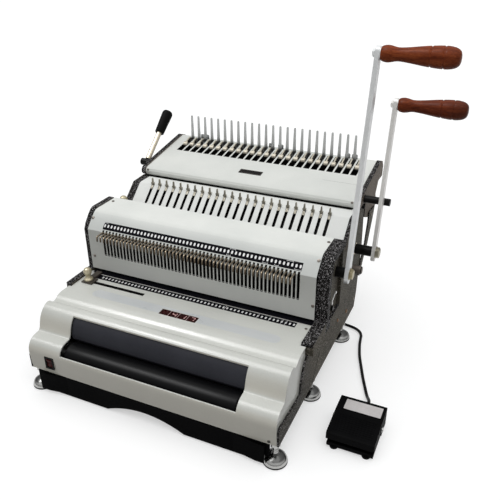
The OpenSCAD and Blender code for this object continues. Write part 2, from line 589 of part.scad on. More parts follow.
base_pan();
front_skirt();
side_plate_left();
side_plate_right();
rear_panel();
inserter_cover();
trough_liner();
display_lens();
roller_brackets();
roller();
roller_shaft();
motor();
motor_pulley();
drive_belt();
control_board();
mains_inlet();
rocker_bezel();
rocker();
coil_guide();
coil_guide_knob();
coil_cover();
coil_end_plate_left();
coil_end_plate_right();
coil_die_block();
coil_press_bar();
coil_pull_pins();
front_shaft();
front_lever_bar();
front_grip();
throat_shelf();
comb_guide();
comb_guide_knob();
comb_cover();
comb_die_block();
comb_press_bar();
comb_pull_pins();
rear_shaft();
rear_lever_bar();
rear_grip();
opener_cover();
opener_end_plate_left();
opener_end_plate_right();
opener_comb_plate();
hook_bar();
lever_shaft();
comb_lever_rod();
comb_lever_grip();
rear_struts();
lever_stop_rod();
shaft_bushes();
cover_screws();
levelling_feet();
chip_tray();
cable_gland();
pedal_base();
pedal_tread();
pedal_pin();
pedal_cord_a();
cord_coil();
pedal_cord_b();
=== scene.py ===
import bpy, bmesh, math
from mathutils import Matrix, Vector
from mathutils.geometry import tessellate_polygon


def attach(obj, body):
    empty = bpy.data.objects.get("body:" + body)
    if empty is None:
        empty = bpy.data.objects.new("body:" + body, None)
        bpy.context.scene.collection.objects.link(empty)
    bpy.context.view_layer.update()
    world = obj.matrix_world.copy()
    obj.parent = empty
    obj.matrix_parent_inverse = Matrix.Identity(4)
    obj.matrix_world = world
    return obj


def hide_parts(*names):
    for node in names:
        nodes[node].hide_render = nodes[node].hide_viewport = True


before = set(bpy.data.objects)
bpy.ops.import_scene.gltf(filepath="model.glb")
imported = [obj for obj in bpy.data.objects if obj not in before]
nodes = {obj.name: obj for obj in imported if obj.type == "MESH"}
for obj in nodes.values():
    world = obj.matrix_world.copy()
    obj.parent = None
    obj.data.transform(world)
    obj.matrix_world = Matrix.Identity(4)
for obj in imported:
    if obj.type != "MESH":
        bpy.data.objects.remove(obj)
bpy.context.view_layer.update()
scene = bpy.context.scene

# ---------------------------------------------------------------- helpers
# Lengths below are millimetres in the machine's drawing: X right, Y back, Z up.
OX, OY = -59.5, -237.0


def P(x, y, z):
    return Vector(((x + OX) * 0.001, (y + OY) * 0.001, z * 0.001))


def link(o):
    scene.collection.objects.link(o)
    return o


def shade(me, angle=40):
    me.polygons.foreach_set("use_smooth", [True] * len(me.polygons))
    if hasattr(me, "set_sharp_from_angle"):
        me.set_sharp_from_angle(angle=math.radians(angle))
    me.update()


def bevel(o, width, segments=2, angle=35):
    b = o.modifiers.new("edge", "BEVEL")
    b.width = width * 0.001
    b.segments = segments
    b.limit_method = "ANGLE"
    b.angle_limit = math.radians(angle)
    b.harden_normals = True
    b.use_clamp_overlap = True
    return b


class Mesh:
    """Vertices and faces collected in millimetres, then made into one object."""

    def __init__(self):
        self.v, self.f = [], []

    def add(self, verts, faces):
        n = len(self.v)
        self.v += [tuple(p) for p in verts]
        self.f += [tuple(n + i for i in f) for f in faces]
        return self

    def box(self, a, b, m=None):
        x0, y0, z0 = a
        x1, y1, z1 = b
        vs = [(x0, y0, z0), (x1, y0, z0), (x1, y1, z0), (x0, y1, z0), (x0, y0, z1), (x1, y0, z1), (x1, y1, z1), (x0, y1, z1)]
        if m is not None:
            vs = [m @ Vector(p) for p in vs]
        return self.add(vs, [(0, 3, 2, 1), (4, 5, 6, 7), (0, 1, 5, 4), (1, 2, 6, 5), (2, 3, 7, 6), (3, 0, 4, 7)])

    def lathe(self, prof, seg, m):
        """prof is (radius, height) pairs from bottom to top; m places the axis, which is local Z."""
        vs, fs = [], []
        rings = []
        for r, h in prof:
            if r < 1e-6:
                rings.append([len(vs)])
                vs.append(m @ Vector((0, 0, h)))
            else:
                rings.append(list(range(len(vs), len(vs) + seg)))
                for k in range(seg):
                    a = 2 * math.pi * k / seg
                    vs.append(m @ Vector((r * math.cos(a), r * math.sin(a), h)))
        for a, b in zip(rings, rings[1:]):
            for k in range(seg):
                j = (k + 1) % seg
                if len(a) == 1 and len(b) == 1:
                    continue
                if len(a) == 1:
                    fs.append((a[0], b[j], b[k])[::-1])
                elif len(b) == 1:
                    fs.append((a[k], a[j], b[0]))
                else:
                    fs.append((a[k], a[j], b[j], b[k]))
        return self.add(vs, fs)

    def prism(self, pts, m, h):
        """A flat outline, anticlockwise in local XY, raised along local Z."""
        n = len(pts)
        vs = [m @ Vector((x, y, 0)) for x, y in pts] + [m @ Vector((x, y, h)) for x, y in pts]
        fs = [tuple(range(n))[::-1], tuple(range(n, 2 * n))]
        fs += [(k, (k + 1) % n, n + (k + 1) % n, n + k) for k in range(n)]
        return self.add(vs, fs)

    def sweep(self, path, rad, seg=10, caps=True):
        """A round bar along points; rad is one radius or one for each point."""
        pts = [Vector(p) for p in path]
        n = len(pts)
        rr = rad if isinstance(rad, (list, tuple)) else [rad] * n
        t0 = (pts[1] - pts[0]).normalized()
        u = t0.cross(Vector((1, 0, 0)) if abs(t0.x) < 0.9 else Vector((0, 1, 0))).normalized()
        vs, fs = [], []
        last = t0
        for i in range(n):
            t = (pts[min(i + 1, n - 1)] - pts[max(i - 1, 0)]).normalized()
            u = (last.rotation_difference(t) @ u).normalized()
            last = t
            w = t.cross(u)
            for k in range(seg):
                a = 2 * math.pi * k / seg
                vs.append(pts[i] + rr[i] * (math.cos(a) * u + math.sin(a) * w))
        for i in range(n - 1):
            for k in range(seg):
                j = (k + 1) % seg
                fs.append((i * seg + k, i * seg + j, (i + 1) * seg + j, (i + 1) * seg + k))
        if caps:
            fs.append(tuple(range(seg))[::-1])
            fs.append(tuple((n - 1) * seg + k for k in range(seg)))
        return self.add(vs, fs)

    def make(self, name, mat, body, slot=None, angle=40, edge=None, seg=2):
        me = bpy.data.meshes.new(name)
        me.from_pydata([P(*p) for p in self.v], [], self.f)
        me.validate()
        bm = bmesh.new()
        bm.from_mesh(me)
        bmesh.ops.remove_doubles(bm, verts=bm.verts, dist=2e-6)
        bmesh.ops.recalc_face_normals(bm, faces=bm.faces)
        bm.to_mesh(me)
        bm.free()
        me.materials.append(mat)
        shade(me, angle)
        o = link(bpy.data.objects.new(name, me))
        if edge:
            bevel(o, edge, seg)
        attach(o, body)
        return o


def place(origin, z, x=(1, 0, 0)):
    """A matrix with its Z along z, its X near x, at origin (millimetres)."""
    z = Vector(z).normalized()
    x = Vector(x)
    x = (x - z * x.dot(z)).normalized()
    y = z.cross(x)
    m = Matrix((x, y, z)).transposed().to_4x4()
    m.translation = Vector(origin)
    return m


def arc(cx, cy, r, a0, a1, n):
    return [(cx + r * math.cos(math.radians(a0 + (a1 - a0) * i / n)), cy + r * math.sin(math.radians(a0 + (a1 - a0) * i / n))) for i in range(n + 1)]


def rounded(w, h, r, n=4, cx=0.0, cy=0.0):
    """A rectangle with round corners, anticlockwise."""
    x, y = w / 2 - r, h / 2 - r
    return [(cx + px, cy + py) for c in ((x, y, 0), (-x, y, 90), (-x, -y, 180), (x, -y, 270)) for px, py in arc(c[0], c[1], r, c[2], c[2] + 90, n)]


def catmull(pts, n):
    out = []
    for i in range(len(pts) - 1):
        a, b, c, d = (Vector(pts[max(i - 1, 0)]), Vector(pts[i]), Vector(pts[i + 1]), Vector(pts[min(i + 2, len(pts) - 1)]))
        for k in range(n):
            t = k / n
            out.append(0.5 * (2 * b + (c - a) * t + (2 * a - 5 * b + 4 * c - d) * t * t + (3 * b - a - 3 * c + d) * t ** 3))
    return out + [Vector(pts[-1])]


# ---------------------------------------------------------------- camera
cam_data = bpy.data.cameras.new("camera")
cam_data.lens = 42.984
cam_data.sensor_width = 36.0
cam_data.clip_start, cam_data.clip_end = 0.01, 100.0
cam = link(bpy.data.objects.new("camera", cam_data))
right = Vector((0.9135352, 0.4067495, -0.0028735))
up = Vector((-0.1874794, 0.4273159, 0.8844504))
back = Vector((0.3609777, -0.8074379, 0.4666253))
m = Matrix((right, up, back)).transposed().to_4x4()
m.translation = Vector((0.344802, -0.781486, 0.629226))
cam.matrix_world = m
scene.camera = cam

# ---------------------------------------------------------------- materials


def tree(name):
    mt = bpy.data.materials.new(name)
    mt.use_nodes = True
    t = mt.node_tree
    return mt, t, t.nodes["Principled BSDF"]


def node(t, kind, **kw):
    n = t.nodes.new(kind)
    for k, v in kw.items():
        if k in n.inputs:
            n.inputs[k].default_value = v
        else:
            setattr(n, k, v)
    return n


def coords(t, scale=(1, 1, 1), rot=(0, 0, 0)):
    c = t.nodes.new("ShaderNodeTexCoord")
    mp = t.nodes.new("ShaderNodeMapping")
    mp.inputs["Scale"].default_value = scale
    mp.inputs["Rotation"].default_value = rot
    t.links.new(c.outputs["Object"], mp.inputs["Vector"])
    return mp.outputs["Vector"]


def noise(t, vec, scale, detail=2.0, rough=0.5, distort=0.0):
    n = t.nodes.new("ShaderNodeTexNoise")
    n.inputs["Scale"].default_value = scale
    n.inputs["Detail"].default_value = detail
    n.inputs["Roughness"].default_value = rough
    n.inputs["Distortion"].default_value = distort
    t.links.new(vec, n.inputs["Vector"])
    return n.outputs["Fac"]


def ramp(t, fac, stops):
    r = t.nodes.new("ShaderNodeValToRGB")
    e = r.color_ramp.elements
    while len(e) < len(stops):
        e.new(0.5)
    for el, (p, c) in zip(e, stops):
        el.position = p
        el.color = (c[0], c[1], c[2], 1.0) if hasattr(c, "__len__") else (c, c, c, 1.0)
    t.links.new(fac, r.inputs["Fac"])
    return r.outputs["Color"]


def mix(t, fac, a, b, mode="MIX"):
    n = t.nodes.new("ShaderNodeMix")
    n.data_type = "RGBA"
    n.blend_type = mode
    for sock, v in ((n.inputs[0], fac), (n.inputs[6], a), (n.inputs[7], b)):
        if hasattr(v, "is_output"):
            t.links.new(v, sock)
        elif hasattr(v, "__len__"):
            sock.default_value = (v[0], v[1], v[2], 1.0)
        else:
            sock.default_value = v
    return n.outputs[2]


def remap(t, fac, lo, hi, a=0.0, b=1.0):
    n = t.nodes.new("ShaderNodeMapRange")
    n.inputs["From Min"].default_value = a
    n.inputs["From Max"].default_value = b
    n.inputs["To Min"].default_value = lo
    n.inputs["To Max"].default_value = hi
    t.links.new(fac, n.inputs["Value"])
    return n.outputs["Result"]


def bump(t, height, dist, strength=1.0, normal=None):
    n = t.nodes.new("ShaderNodeBump")
    n.inputs["Strength"].default_value = strength
    n.inputs["Distance"].default_value = dist
    t.links.new(height, n.inputs["Height"])
    if normal is not None:
        t.links.new(normal, n.inputs["Normal"])
    return n.outputs["Normal"]


def calc(t, op, a, b=None):
    n = t.nodes.new("ShaderNodeMath")
    n.operation = op
    for sock, v in ((n.inputs[0], a), (n.inputs[1], b)):
        if v is None:
            continue
        if hasattr(v, "is_output"):
            t.links.new(v, sock)
        else:
            sock.default_value = v
    return n.outputs[0]


def axes(t):
    """Place in the drawing's millimetres and direction of the surface, both fixed to the part."""
    c = t.nodes.new("ShaderNodeTexCoord")
    a, b = t.nodes.new("ShaderNodeSeparateXYZ"), t.nodes.new("ShaderNodeSeparateXYZ")
    t.links.new(c.outputs["Object"], a.inputs[0])
    t.links.new(c.outputs["Normal"], b.inputs[0])
    x = calc(t, "SUBTRACT", calc(t, "MULTIPLY", a.outputs[0], 1000.0), OX)
    y = calc(t, "SUBTRACT", calc(t, "MULTIPLY", a.outputs[1], 1000.0), OY)
    z = calc(t, "MULTIPLY", a.outputs[2], 1000.0)
    return x, y, z, b.outputs[0], b.outputs[1], b.outputs[2]


def facing(t, comp, lo=0.6, hi=0.75):
    """1 where the surface looks along an axis, either way."""
    return remap(t, calc(t, "ABSOLUTE", comp), 0.0, 1.0, lo, hi)


def over(mt, mask, colour):
    """Lay a second tone over the material's own colour where mask is 1."""
    t = mt.node_tree
    b = t.nodes["Principled BSDF"]
    old = b.inputs["Base Color"].links[0].from_socket
    t.links.new(mix(t, mask, old, colour), b.inputs["Base Color"])


def paint(name, dark, light, rough=(0.35, 0.5), grain=700, cloud=14, bump_mm=0.05, spec=0.5, metal=0.0, coat=0.0, coat_rough=0.2, contrast=(0.35, 0.65)):
    """Painted or moulded surface: cloudy tone, fine grain in the gloss and a fine relief."""
    mt, t, b = tree(name)
    v = coords(t)
    big = noise(t, v, cloud, 3.0, 0.55)
    fine = noise(t, v, grain, 3.0, 0.6)
    tone = mix(t, 0.35, big, fine)
    t.links.new(ramp(t, tone, [(contrast[0], dark), (contrast[1], light)]), b.inputs["Base Color"])
    t.links.new(remap(t, fine, rough[0], rough[1], 0.3, 0.7), b.inputs["Roughness"])
    t.links.new(bump(t, fine, bump_mm * 0.001), b.inputs["Normal"])
    b.inputs["Specular IOR Level"].default_value = spec
    b.inputs["Metallic"].default_value = metal
    b.inputs["Coat Weight"].default_value = coat
    b.inputs["Coat Roughness"].default_value = coat_rough
    return mt


def hammered(name, dark, mid, light, scale=620, share=(0.56, 0.64), rough=(0.3, 0.5), bump_mm=0.12, spec=0.5):
    """Hammered dark paint: small pale flecks, partly the paint's own flecks and partly painted glints off the dimples,
    over a clouded dark ground, with a dimpled relief.
    """
    mt, t, b = tree(name)
    v = coords(t)
    big = noise(t, v, 22, 3.0, 0.55)
    cells = noise(t, v, scale, 2.0, 0.65, 0.6)
    ground = ramp(t, big, [(0.3, dark), (0.7, mid)])
    fleck = ramp(t, cells, [(share[0], 0.0), (share[1], 1.0)])
    t.links.new(mix(t, fleck, ground, light), b.inputs["Base Color"])
    t.links.new(remap(t, cells, rough[1], rough[0], 0.4, 0.65), b.inputs["Roughness"])
    t.links.new(bump(t, cells, bump_mm * 0.001), b.inputs["Normal"])
    b.inputs["Specular IOR Level"].default_value = spec
    return mt


def metal(name, dark, light, rough=(0.25, 0.4), brush=(1, 1, 1), scale=120, bump_mm=0.01, metallic=1.0, wear=0.5, spec=0.5):
    """Metal with brushing along one direction (the small number in brush) and cloudy wear."""
    mt, t, b = tree(name)
    v = coords(t, brush)
    streak = noise(t, v, scale, 3.0, 0.6)
    cloud = noise(t, coords(t), 35, 3.0, 0.6)
    tone = mix(t, wear, streak, cloud)
    t.links.new(ramp(t, tone, [(0.35, dark), (0.65, light)]), b.inputs["Base Color"])
    t.links.new(remap(t, tone, rough[0], rough[1], 0.3, 0.7), b.inputs["Roughness"])
    t.links.new(bump(t, streak, bump_mm * 0.001), b.inputs["Normal"])
    b.inputs["Metallic"].default_value = metallic
    b.inputs["Specular IOR Level"].default_value = spec
    return mt


def wood(name, dark, mid, light):
    """Turned hardwood, grain along X, varnished."""
    mt, t, b = tree(name)
    v = coords(t, (1, 9, 9))
    broad = noise(t, v, 26, 4.0, 0.6, 0.8)
    fine = noise(t, coords(t, (1, 16, 16)), 95, 3.0, 0.6)
    c = ramp(t, broad, [(0.28, dark), (0.5, mid), (0.72, light)])
    c = mix(t, ramp(t, fine, [(0.36, 0.0), (0.62, 1.0)]), mix(t, 0.55, c, dark), c)
    t.links.new(c, b.inputs["Base Color"])
    t.links.new(remap(t, fine, 0.5, 0.32, 0.3, 0.7), b.inputs["Roughness"])
    t.links.new(bump(t, fine, 0.00006), b.inputs["Normal"])
    b.inputs["Specular IOR Level"].default_value = 0.07
    b.inputs["Coat Weight"].default_value = 0.025
    b.inputs["Coat Roughness"].default_value = 0.12
    return mt


def paint_slot_shade(mt):
    """Painted shade: the slot walls, the faces looking along X, are darkened nearly to black."""
    t = mt.node_tree
    over(mt, facing(t, axes(t)[3]), ramp(t, noise(t, coords(t), 300), [(0.3, (0.010, 0.009, 0.008)), (0.7, (0.022, 0.020, 0.018))]))
    return mt


def both_of(t, *masks):
    r = masks[0]
    for q in masks[1:]:
        r = calc(t, "MULTIPLY", r, q)
    return r


def any_of(t, *masks):
    r = masks[0]
    for q in masks[1:]:
        r = calc(t, "MAXIMUM", r, q)
    return r


def beyond(t, value, limit):
    return calc(t, "GREATER_THAN", value, limit)


def under(t, value, limit):
    return calc(t, "LESS_THAN", value, limit)


def on_sides(t):
    return facing(t, axes(t)[3])


def on_side_plates(t):
    """The plates' outsides; the front end is darker."""
    x, y, z, nx, ny_, nz = axes(t)
    return both_of(t, facing(t, nx), beyond(t, calc(t, "ABSOLUTE", x), 202.5), remap(t, y, 0.4, 1.0, 70.0, 120.0))


def on_punch_ends(t):
    """The low bar's side and front, and the field inside the thick rim."""
    x, y, z, nx, ny_, nz = axes(t)
    field = any_of(t, under(t, calc(t, "ABSOLUTE", x), 206.5), under(t, y, 153.0), both_of(t, beyond(t, y, 176.0), under(t, z, 219.5)))
    inner = both_of(t, under(t, ny_, -0.4), any_of(t, beyond(t, y, 200.0), both_of(t, under(t, y, 100.0), under(t, z, 125.5))))
    return any_of(t, both_of(t, facing(t, nx), field), inner)


def two_tone(name, edge, side, where):
    """Dark flecked paint on the edges and a brown-grey tone on the faces that where picks; its pale flecks are partly
    painted glints.
    """
    mt = hammered(name, *edge[:3], **edge[3])
    t = mt.node_tree
    m_ = where(t)
    v = coords(t)
    big = ramp(t, noise(t, v, 20, 3.0, 0.55), [(0.3, side[0]), (0.7, side[1])])
    cells = ramp(t, noise(t, v, 620, 2.0, 0.65, 0.6), [(0.55, 0.0), (0.66, 1.0)])
    over(mt, m_, mix(t, cells, big, side[2]))
    return mt


COVER = paint("cover_paint", (0.735, 0.75, 0.72), (0.825, 0.835, 0.80), (0.34, 0.48), 760, 12, 0.05, 0.08)
OPENC = paint("opener_paint", (0.685, 0.70, 0.67), (0.77, 0.78, 0.745), (0.34, 0.48), 760, 12, 0.05, 0.1)
# A lighter copy of the cover paint for the comb panel: painted light making up for the shade cast by the opener above
# it.
COMBCOVER = paint("comb_cover_paint_lightened", (0.765, 0.775, 0.755), (0.84, 0.85, 0.825), (0.34, 0.48), 760, 12, 0.05, 0.08)
NOSE = paint("nose_paint", (0.575, 0.582, 0.545), (0.655, 0.66, 0.62), (0.16, 0.24), 520, 9, 0.024, 0.34)
for mt_ in (COVER, OPENC, COMBCOVER):
    paint_slot_shade(mt_)
t_ = COVER.node_tree
# Painted shade: the cover's forward-facing faces are mixed towards a dark grey.
over(COVER, remap(t_, axes(t_)[4], 0.30, 0.0, -0.98, -0.85), (0.30, 0.30, 0.29))
# Painted shade: the sloping bevel under the cover's top is mixed towards a cool grey.
ny_ = axes(t_)[4]
over(COVER, both_of(t_, remap(t_, ny_, 0.34, 0.0, -0.68, -0.50), remap(t_, ny_, 0.0, 1.0, -0.93, -0.80)), (0.44, 0.47, 0.47))
t_ = NOSE.node_tree
ax_ = axes(t_)
# Painted light: the nose's forward-facing faces are lightened and warmed.
over(NOSE, remap(t_, ax_[4], 0.36, 0.0, -0.97, -0.75), (0.76, 0.695, 0.575))
# Painted shade: the nose inside the slot's box, walls and a thin rim of the top, is made near black.
nose_slot_shade = both_of(t_, under(t_, calc(t_, "ABSOLUTE", calc(t_, "SUBTRACT", ax_[1], 118.3)), 3.4), beyond(t_, ax_[0], -185.6), under(t_, ax_[0], -76.0))
over(NOSE, nose_slot_shade, (0.012, 0.011, 0.010))
FLECK = ((0.006, 0.0055, 0.0055), (0.013, 0.012, 0.0115), (0.44, 0.425, 0.43), dict(scale=640, share=(0.58, 0.625), rough=(0.4, 0.6), spec=0.03))
BROWN = ((0.050, 0.045, 0.036), (0.086, 0.078, 0.062), (0.36, 0.325, 0.27))
HAMMER = hammered("dark_hammered", *FLECK[:3], **FLECK[3])
SIDE = two_tone("side_plates", FLECK, BROWN, on_side_plates)
STRUT = two_tone("struts", FLECK, BROWN, on_sides)
BROWNPL = hammered("brown_plate", *BROWN, scale=560, share=(0.56, 0.68), rough=(0.4, 0.6), spec=0.04)
ENDS = two_tone("punch_ends", FLECK, BROWN, on_punch_ends)
OPENEND = two_tone("opener_ends", FLECK, ((0.125, 0.105, 0.088), (0.20, 0.168, 0.14), (0.36, 0.31, 0.265)), on_sides)
SHEET = paint("black_sheet", (0.0016, 0.0016, 0.0018), (0.0040, 0.0040, 0.0043), (0.5, 0.7), 600, 18, 0.03, 0.015)
TROUGH = paint("trough", (0.030, 0.031, 0.038), (0.045, 0.046, 0.056), (0.42, 0.52), 650, 10, 0.02, 0.08)
FOAM = paint("roller_foam", (0.0025, 0.0025, 0.003), (0.005, 0.005, 0.0055), (0.27, 0.35), 900, 20, 0.02, 0.09)
STEEL = metal("steel", (0.42, 0.42, 0.41), (0.62, 0.62, 0.61), (0.26, 0.42))
FINGER = metal("finger_steel", (0.47, 0.48, 0.48), (0.63, 0.64, 0.64), (0.34, 0.48), (6, 6, 1), 160, 0.008, 0.75)
DARKSTEEL = metal("dark_steel", (0.030, 0.030, 0.030), (0.075, 0.073, 0.07), (0.3, 0.5), metallic=0.8, spec=0.2)
BLACKOX = metal("black_oxide", (0.006, 0.006, 0.006), (0.016, 0.0155, 0.015), (0.32, 0.5), metallic=0.5, spec=0.1)
PIN = metal("pin_brass", (0.22, 0.165, 0.095), (0.52, 0.43, 0.29), (0.22, 0.36), scale=300)
# Painted shade: the comb plate below the opener's top plane, where the fingers stand in the slots, is darkened.
t_ = FINGER.node_tree
ax_ = axes(t_)
over(FINGER, remap(t_, calc(t_, "SUBTRACT", ax_[2], calc(t_, "MULTIPLY", ax_[1], 0.168)), 0.85, 0.0, 195.0, 198.5), (0.035, 0.034, 0.032))
COMBPIN = metal("comb_pin", (0.22, 0.205, 0.165), (0.43, 0.40, 0.33), (0.30, 0.45), scale=300, metallic=0.45, spec=0.3)
LEVER_F = metal("lever_plate_front", (0.80, 0.815, 0.82), (0.91, 0.92, 0.925), (0.28, 0.40), (8, 8, 1), 120, 0.006, 0.25, spec=0.4)
# The rear bar's copy is warmer and a little lighter than the front bar's: the extra lightness is painted light for the
# less lit rear bar.
LEVER_R = metal("lever_plate_rear_lightened", (0.84, 0.825, 0.80), (0.94, 0.925, 0.90), (0.30, 0.42), (8, 8, 1), 120, 0.006, 0.25, spec=0.4)
CHROME = metal("chrome", (0.36, 0.36, 0.35), (0.50, 0.50, 0.49), (0.16, 0.26), bump_mm=0.002)
# Painted reflection: the foot discs' tops and stems, from 8.6 to 17 mm up, are darkened as the reflection of the dark
# machine above.
t_ = CHROME.node_tree
ax_ = axes(t_)
over(CHROME, both_of(t_, remap(t_, ax_[2], 0.0, 0.9, 8.6, 10.2), under(t_, ax_[2], 17.0)), (0.05, 0.05, 0.049))
RODM = metal("rod_cream", (0.66, 0.585, 0.46), (0.80, 0.72, 0.58), (0.26, 0.38), (8, 8, 1), 140, 0.006, 0.6)
GUIDEM = metal("guide_brown", (0.055, 0.047, 0.04), (0.11, 0.095, 0.08), (0.35, 0.5), metallic=0.5, spec=0.2)
SCREWDARK = metal("screw_dark", (0.03, 0.028, 0.025), (0.07, 0.066, 0.06), (0.3, 0.45), scale=400, metallic=0.7, spec=0.2)
RIMLINE = metal("throat_rim", (0.52, 0.51, 0.49), (0.70, 0.69, 0.67), (0.28, 0.42), (1, 8, 8), 160, 0.006, 0.6)
OLIVE = metal("bolt_olive", (0.20, 0.185, 0.14), (0.36, 0.335, 0.265), (0.30, 0.45), scale=260)
BLACKPL = paint("black_plastic", (0.004, 0.004, 0.004), (0.009, 0.009, 0.009), (0.42, 0.56), 900, 30, 0.04, 0.05)
PEDALPL = paint("pedal_plastic", (0.0016, 0.0016, 0.0018), (0.0034, 0.0034, 0.0038), (0.5, 0.65), 1100, 30, 0.05, 0.03)
RUBBER = paint("rubber", (0.004, 0.004, 0.004), (0.008, 0.008, 0.008), (0.46, 0.6), 900, 40, 0.04, 0.045)
CABLE = paint("cable_sheath", (0.004, 0.004, 0.004), (0.009, 0.009, 0.009), (0.34, 0.46), 900, 60, 0.02, 0.12)
WOOD_F = wood("grip_wood_front", (0.115, 0.019, 0.006), (0.27, 0.055, 0.016), (0.40, 0.095, 0.028))
WOOD_R = wood("grip_wood_rear", (0.080, 0.014, 0.006), (0.185, 0.036, 0.012), (0.285, 0.064, 0.020))
t_ = WOOD_R.node_tree
over(WOOD_R, remap(t_, axes(t_)[0], 0.0, 0.62, 312.0, 341.0), (0.040, 0.011, 0.006))
t_ = WOOD_F.node_tree
over(WOOD_F, remap(t_, axes(t_)[0], 0.0, 0.35, 312.0, 331.0), (0.060, 0.018, 0.009))
LENS = paint("display_lens", (0.016, 0.0018, 0.002), (0.028, 0.003, 0.003), (0.06, 0.12), 80, 30, 0.0, 0.4)
SEGMENT = paint("display_segment", (0.50, 0.27, 0.26), (0.72, 0.46, 0.44), (0.2, 0.3), 200, 60, 0.0, 0.2)
BLACKPRINT = paint("print_black", (0.004, 0.004, 0.006), (0.009, 0.009, 0.012), (0.4, 0.52), 600, 40, 0.01, 0.02)
WHITEPRINT = paint("print_white", (0.74, 0.74, 0.74), (0.84, 0.84, 0.84), (0.3, 0.42), 600, 40, 0.01)
BOARD = paint("circuit_board", (0.015, 0.10, 0.035), (0.03, 0.16, 0.06), (0.3, 0.45), 300, 60, 0.02)
ROCKER = paint("rocker_red", (0.035, 0.0035, 0.004), (0.065, 0.006, 0.007), (0.3, 0.42), 500, 60, 0.01, 0.03)
MOTORM = metal("motor_case", (0.14, 0.14, 0.145), (0.24, 0.24, 0.25), (0.35, 0.5), metallic=0.7)
KNOB = metal("knob_brass", (0.36, 0.315, 0.20), (0.60, 0.54, 0.39), (0.24, 0.36), scale=260, metallic=0.45, spec=0.4)
SCREW = metal("screw_zinc", (0.13, 0.115, 0.10), (0.27, 0.245, 0.22), (0.28, 0.42), scale=400)
BOLT = metal("bolt_zinc", (0.46, 0.45, 0.42), (0.66, 0.65, 0.62), (0.30, 0.45), scale=300)
YELLOWZINC = metal("bolt_yellow_zinc", (0.24, 0.205, 0.125), (0.42, 0.375, 0.255), (0.30, 0.45), scale=260)
BRASS = metal("brass_bit", (0.105, 0.06, 0.038), (0.21, 0.13, 0.085), (0.30, 0.45), scale=260)
PEGM = metal("peg_brown", (0.10, 0.083, 0.07), (0.19, 0.162, 0.14), (0.35, 0.5), metallic=0.3, spec=0.15)
DIVIDER = paint("display_divider", (0.30, 0.20, 0.19), (0.42, 0.30, 0.29), (0.4, 0.5), 300, 60, 0.0, 0.1)
SEGOFF = paint("display_segment_dark", (0.030, 0.005, 0.005), (0.045, 0.008, 0.008), (0.2, 0.3), 200, 60, 0.0, 0.3)
PLATEDARK = paint("name_plate_dark", (0.006, 0.005, 0.005), (0.014, 0.012, 0.012), (0.4, 0.5), 500, 40, 0.02, 0.06)
SEAM = paint("seam_grey", (0.26, 0.26, 0.25), (0.36, 0.36, 0.35), (0.5, 0.6), 500, 40, 0.0)
PLATE = paint("blank_plate", (0.50, 0.475, 0.47), (0.62, 0.595, 0.59), (0.32, 0.45), 500, 30, 0.02)
SLIT = paint("slit_dark", (0.004, 0.004, 0.004), (0.010, 0.009, 0.008), (0.5, 0.6), 500, 40, 0.0, 0.05)


def dotted(name, ground, ground2, dot, pitch_mm, size):
    """Pale ground with a fine regular screen of dots."""
    mt, t, b = tree(name)
    v = coords(t)
    cl = noise(t, v, 16, 3.0, 0.5)
    vo = t.nodes.new("ShaderNodeTexVoronoi")
    vo.feature = "F1"
    vo.inputs["Scale"].default_value = 1000.0 / pitch_mm
    vo.inputs["Randomness"].default_value = 0.0
    t.links.new(v, vo.inputs["Vector"])
    f = remap(t, vo.outputs["Distance"], 1.0, 0.0, size - 0.06, size + 0.06)
    t.links.new(mix(t, f, ramp(t, cl, [(0.35, ground), (0.65, ground2)]), dot), b.inputs["Base Color"])
    t.links.new(remap(t, cl, 0.26, 0.36, 0.3, 0.7), b.inputs["Roughness"])
    return mt


TINT = dotted("panel_tint", (0.54, 0.56, 0.565), (0.59, 0.605, 0.605), (0.38, 0.42, 0.465), 1.8, 0.36)
# hooks: their own cream above the opener's top, painted shade below it, where they sit in the slots; pins: lighter at
# the bend as a painted highlight, darkened below it as painted shade
HOOKS = metal("hook_steel", (0.47, 0.43, 0.35), (0.66, 0.61, 0.51), (0.40, 0.52), scale=300, metallic=0.25, spec=0.15)
t_ = HOOKS.node_tree
ax_ = axes(t_)
rise = calc(t_, "SUBTRACT", calc(t_, "MULTIPLY", calc(t_, "SUBTRACT", ax_[2], 252.5), 0.9862), calc(t_, "MULTIPLY", calc(t_, "SUBTRACT", ax_[1], 346.0), 0.1657))
over(HOOKS, remap(t_, rise, 1.0, 0.0, -2.2, -0.6), (0.012, 0.011, 0.010))
PINROW = metal("pin_row", (0.17, 0.132, 0.092), (0.38, 0.315, 0.235), (0.24, 0.36), scale=300)
# Painted shade: the coil pins below the bend are darkened; the lighter bend stands in for a highlight.
t_ = PINROW.node_tree
over(PINROW, remap(t_, axes(t_)[2], 0.85, 0.0, 199.0, 203.0), (0.060, 0.045, 0.031))

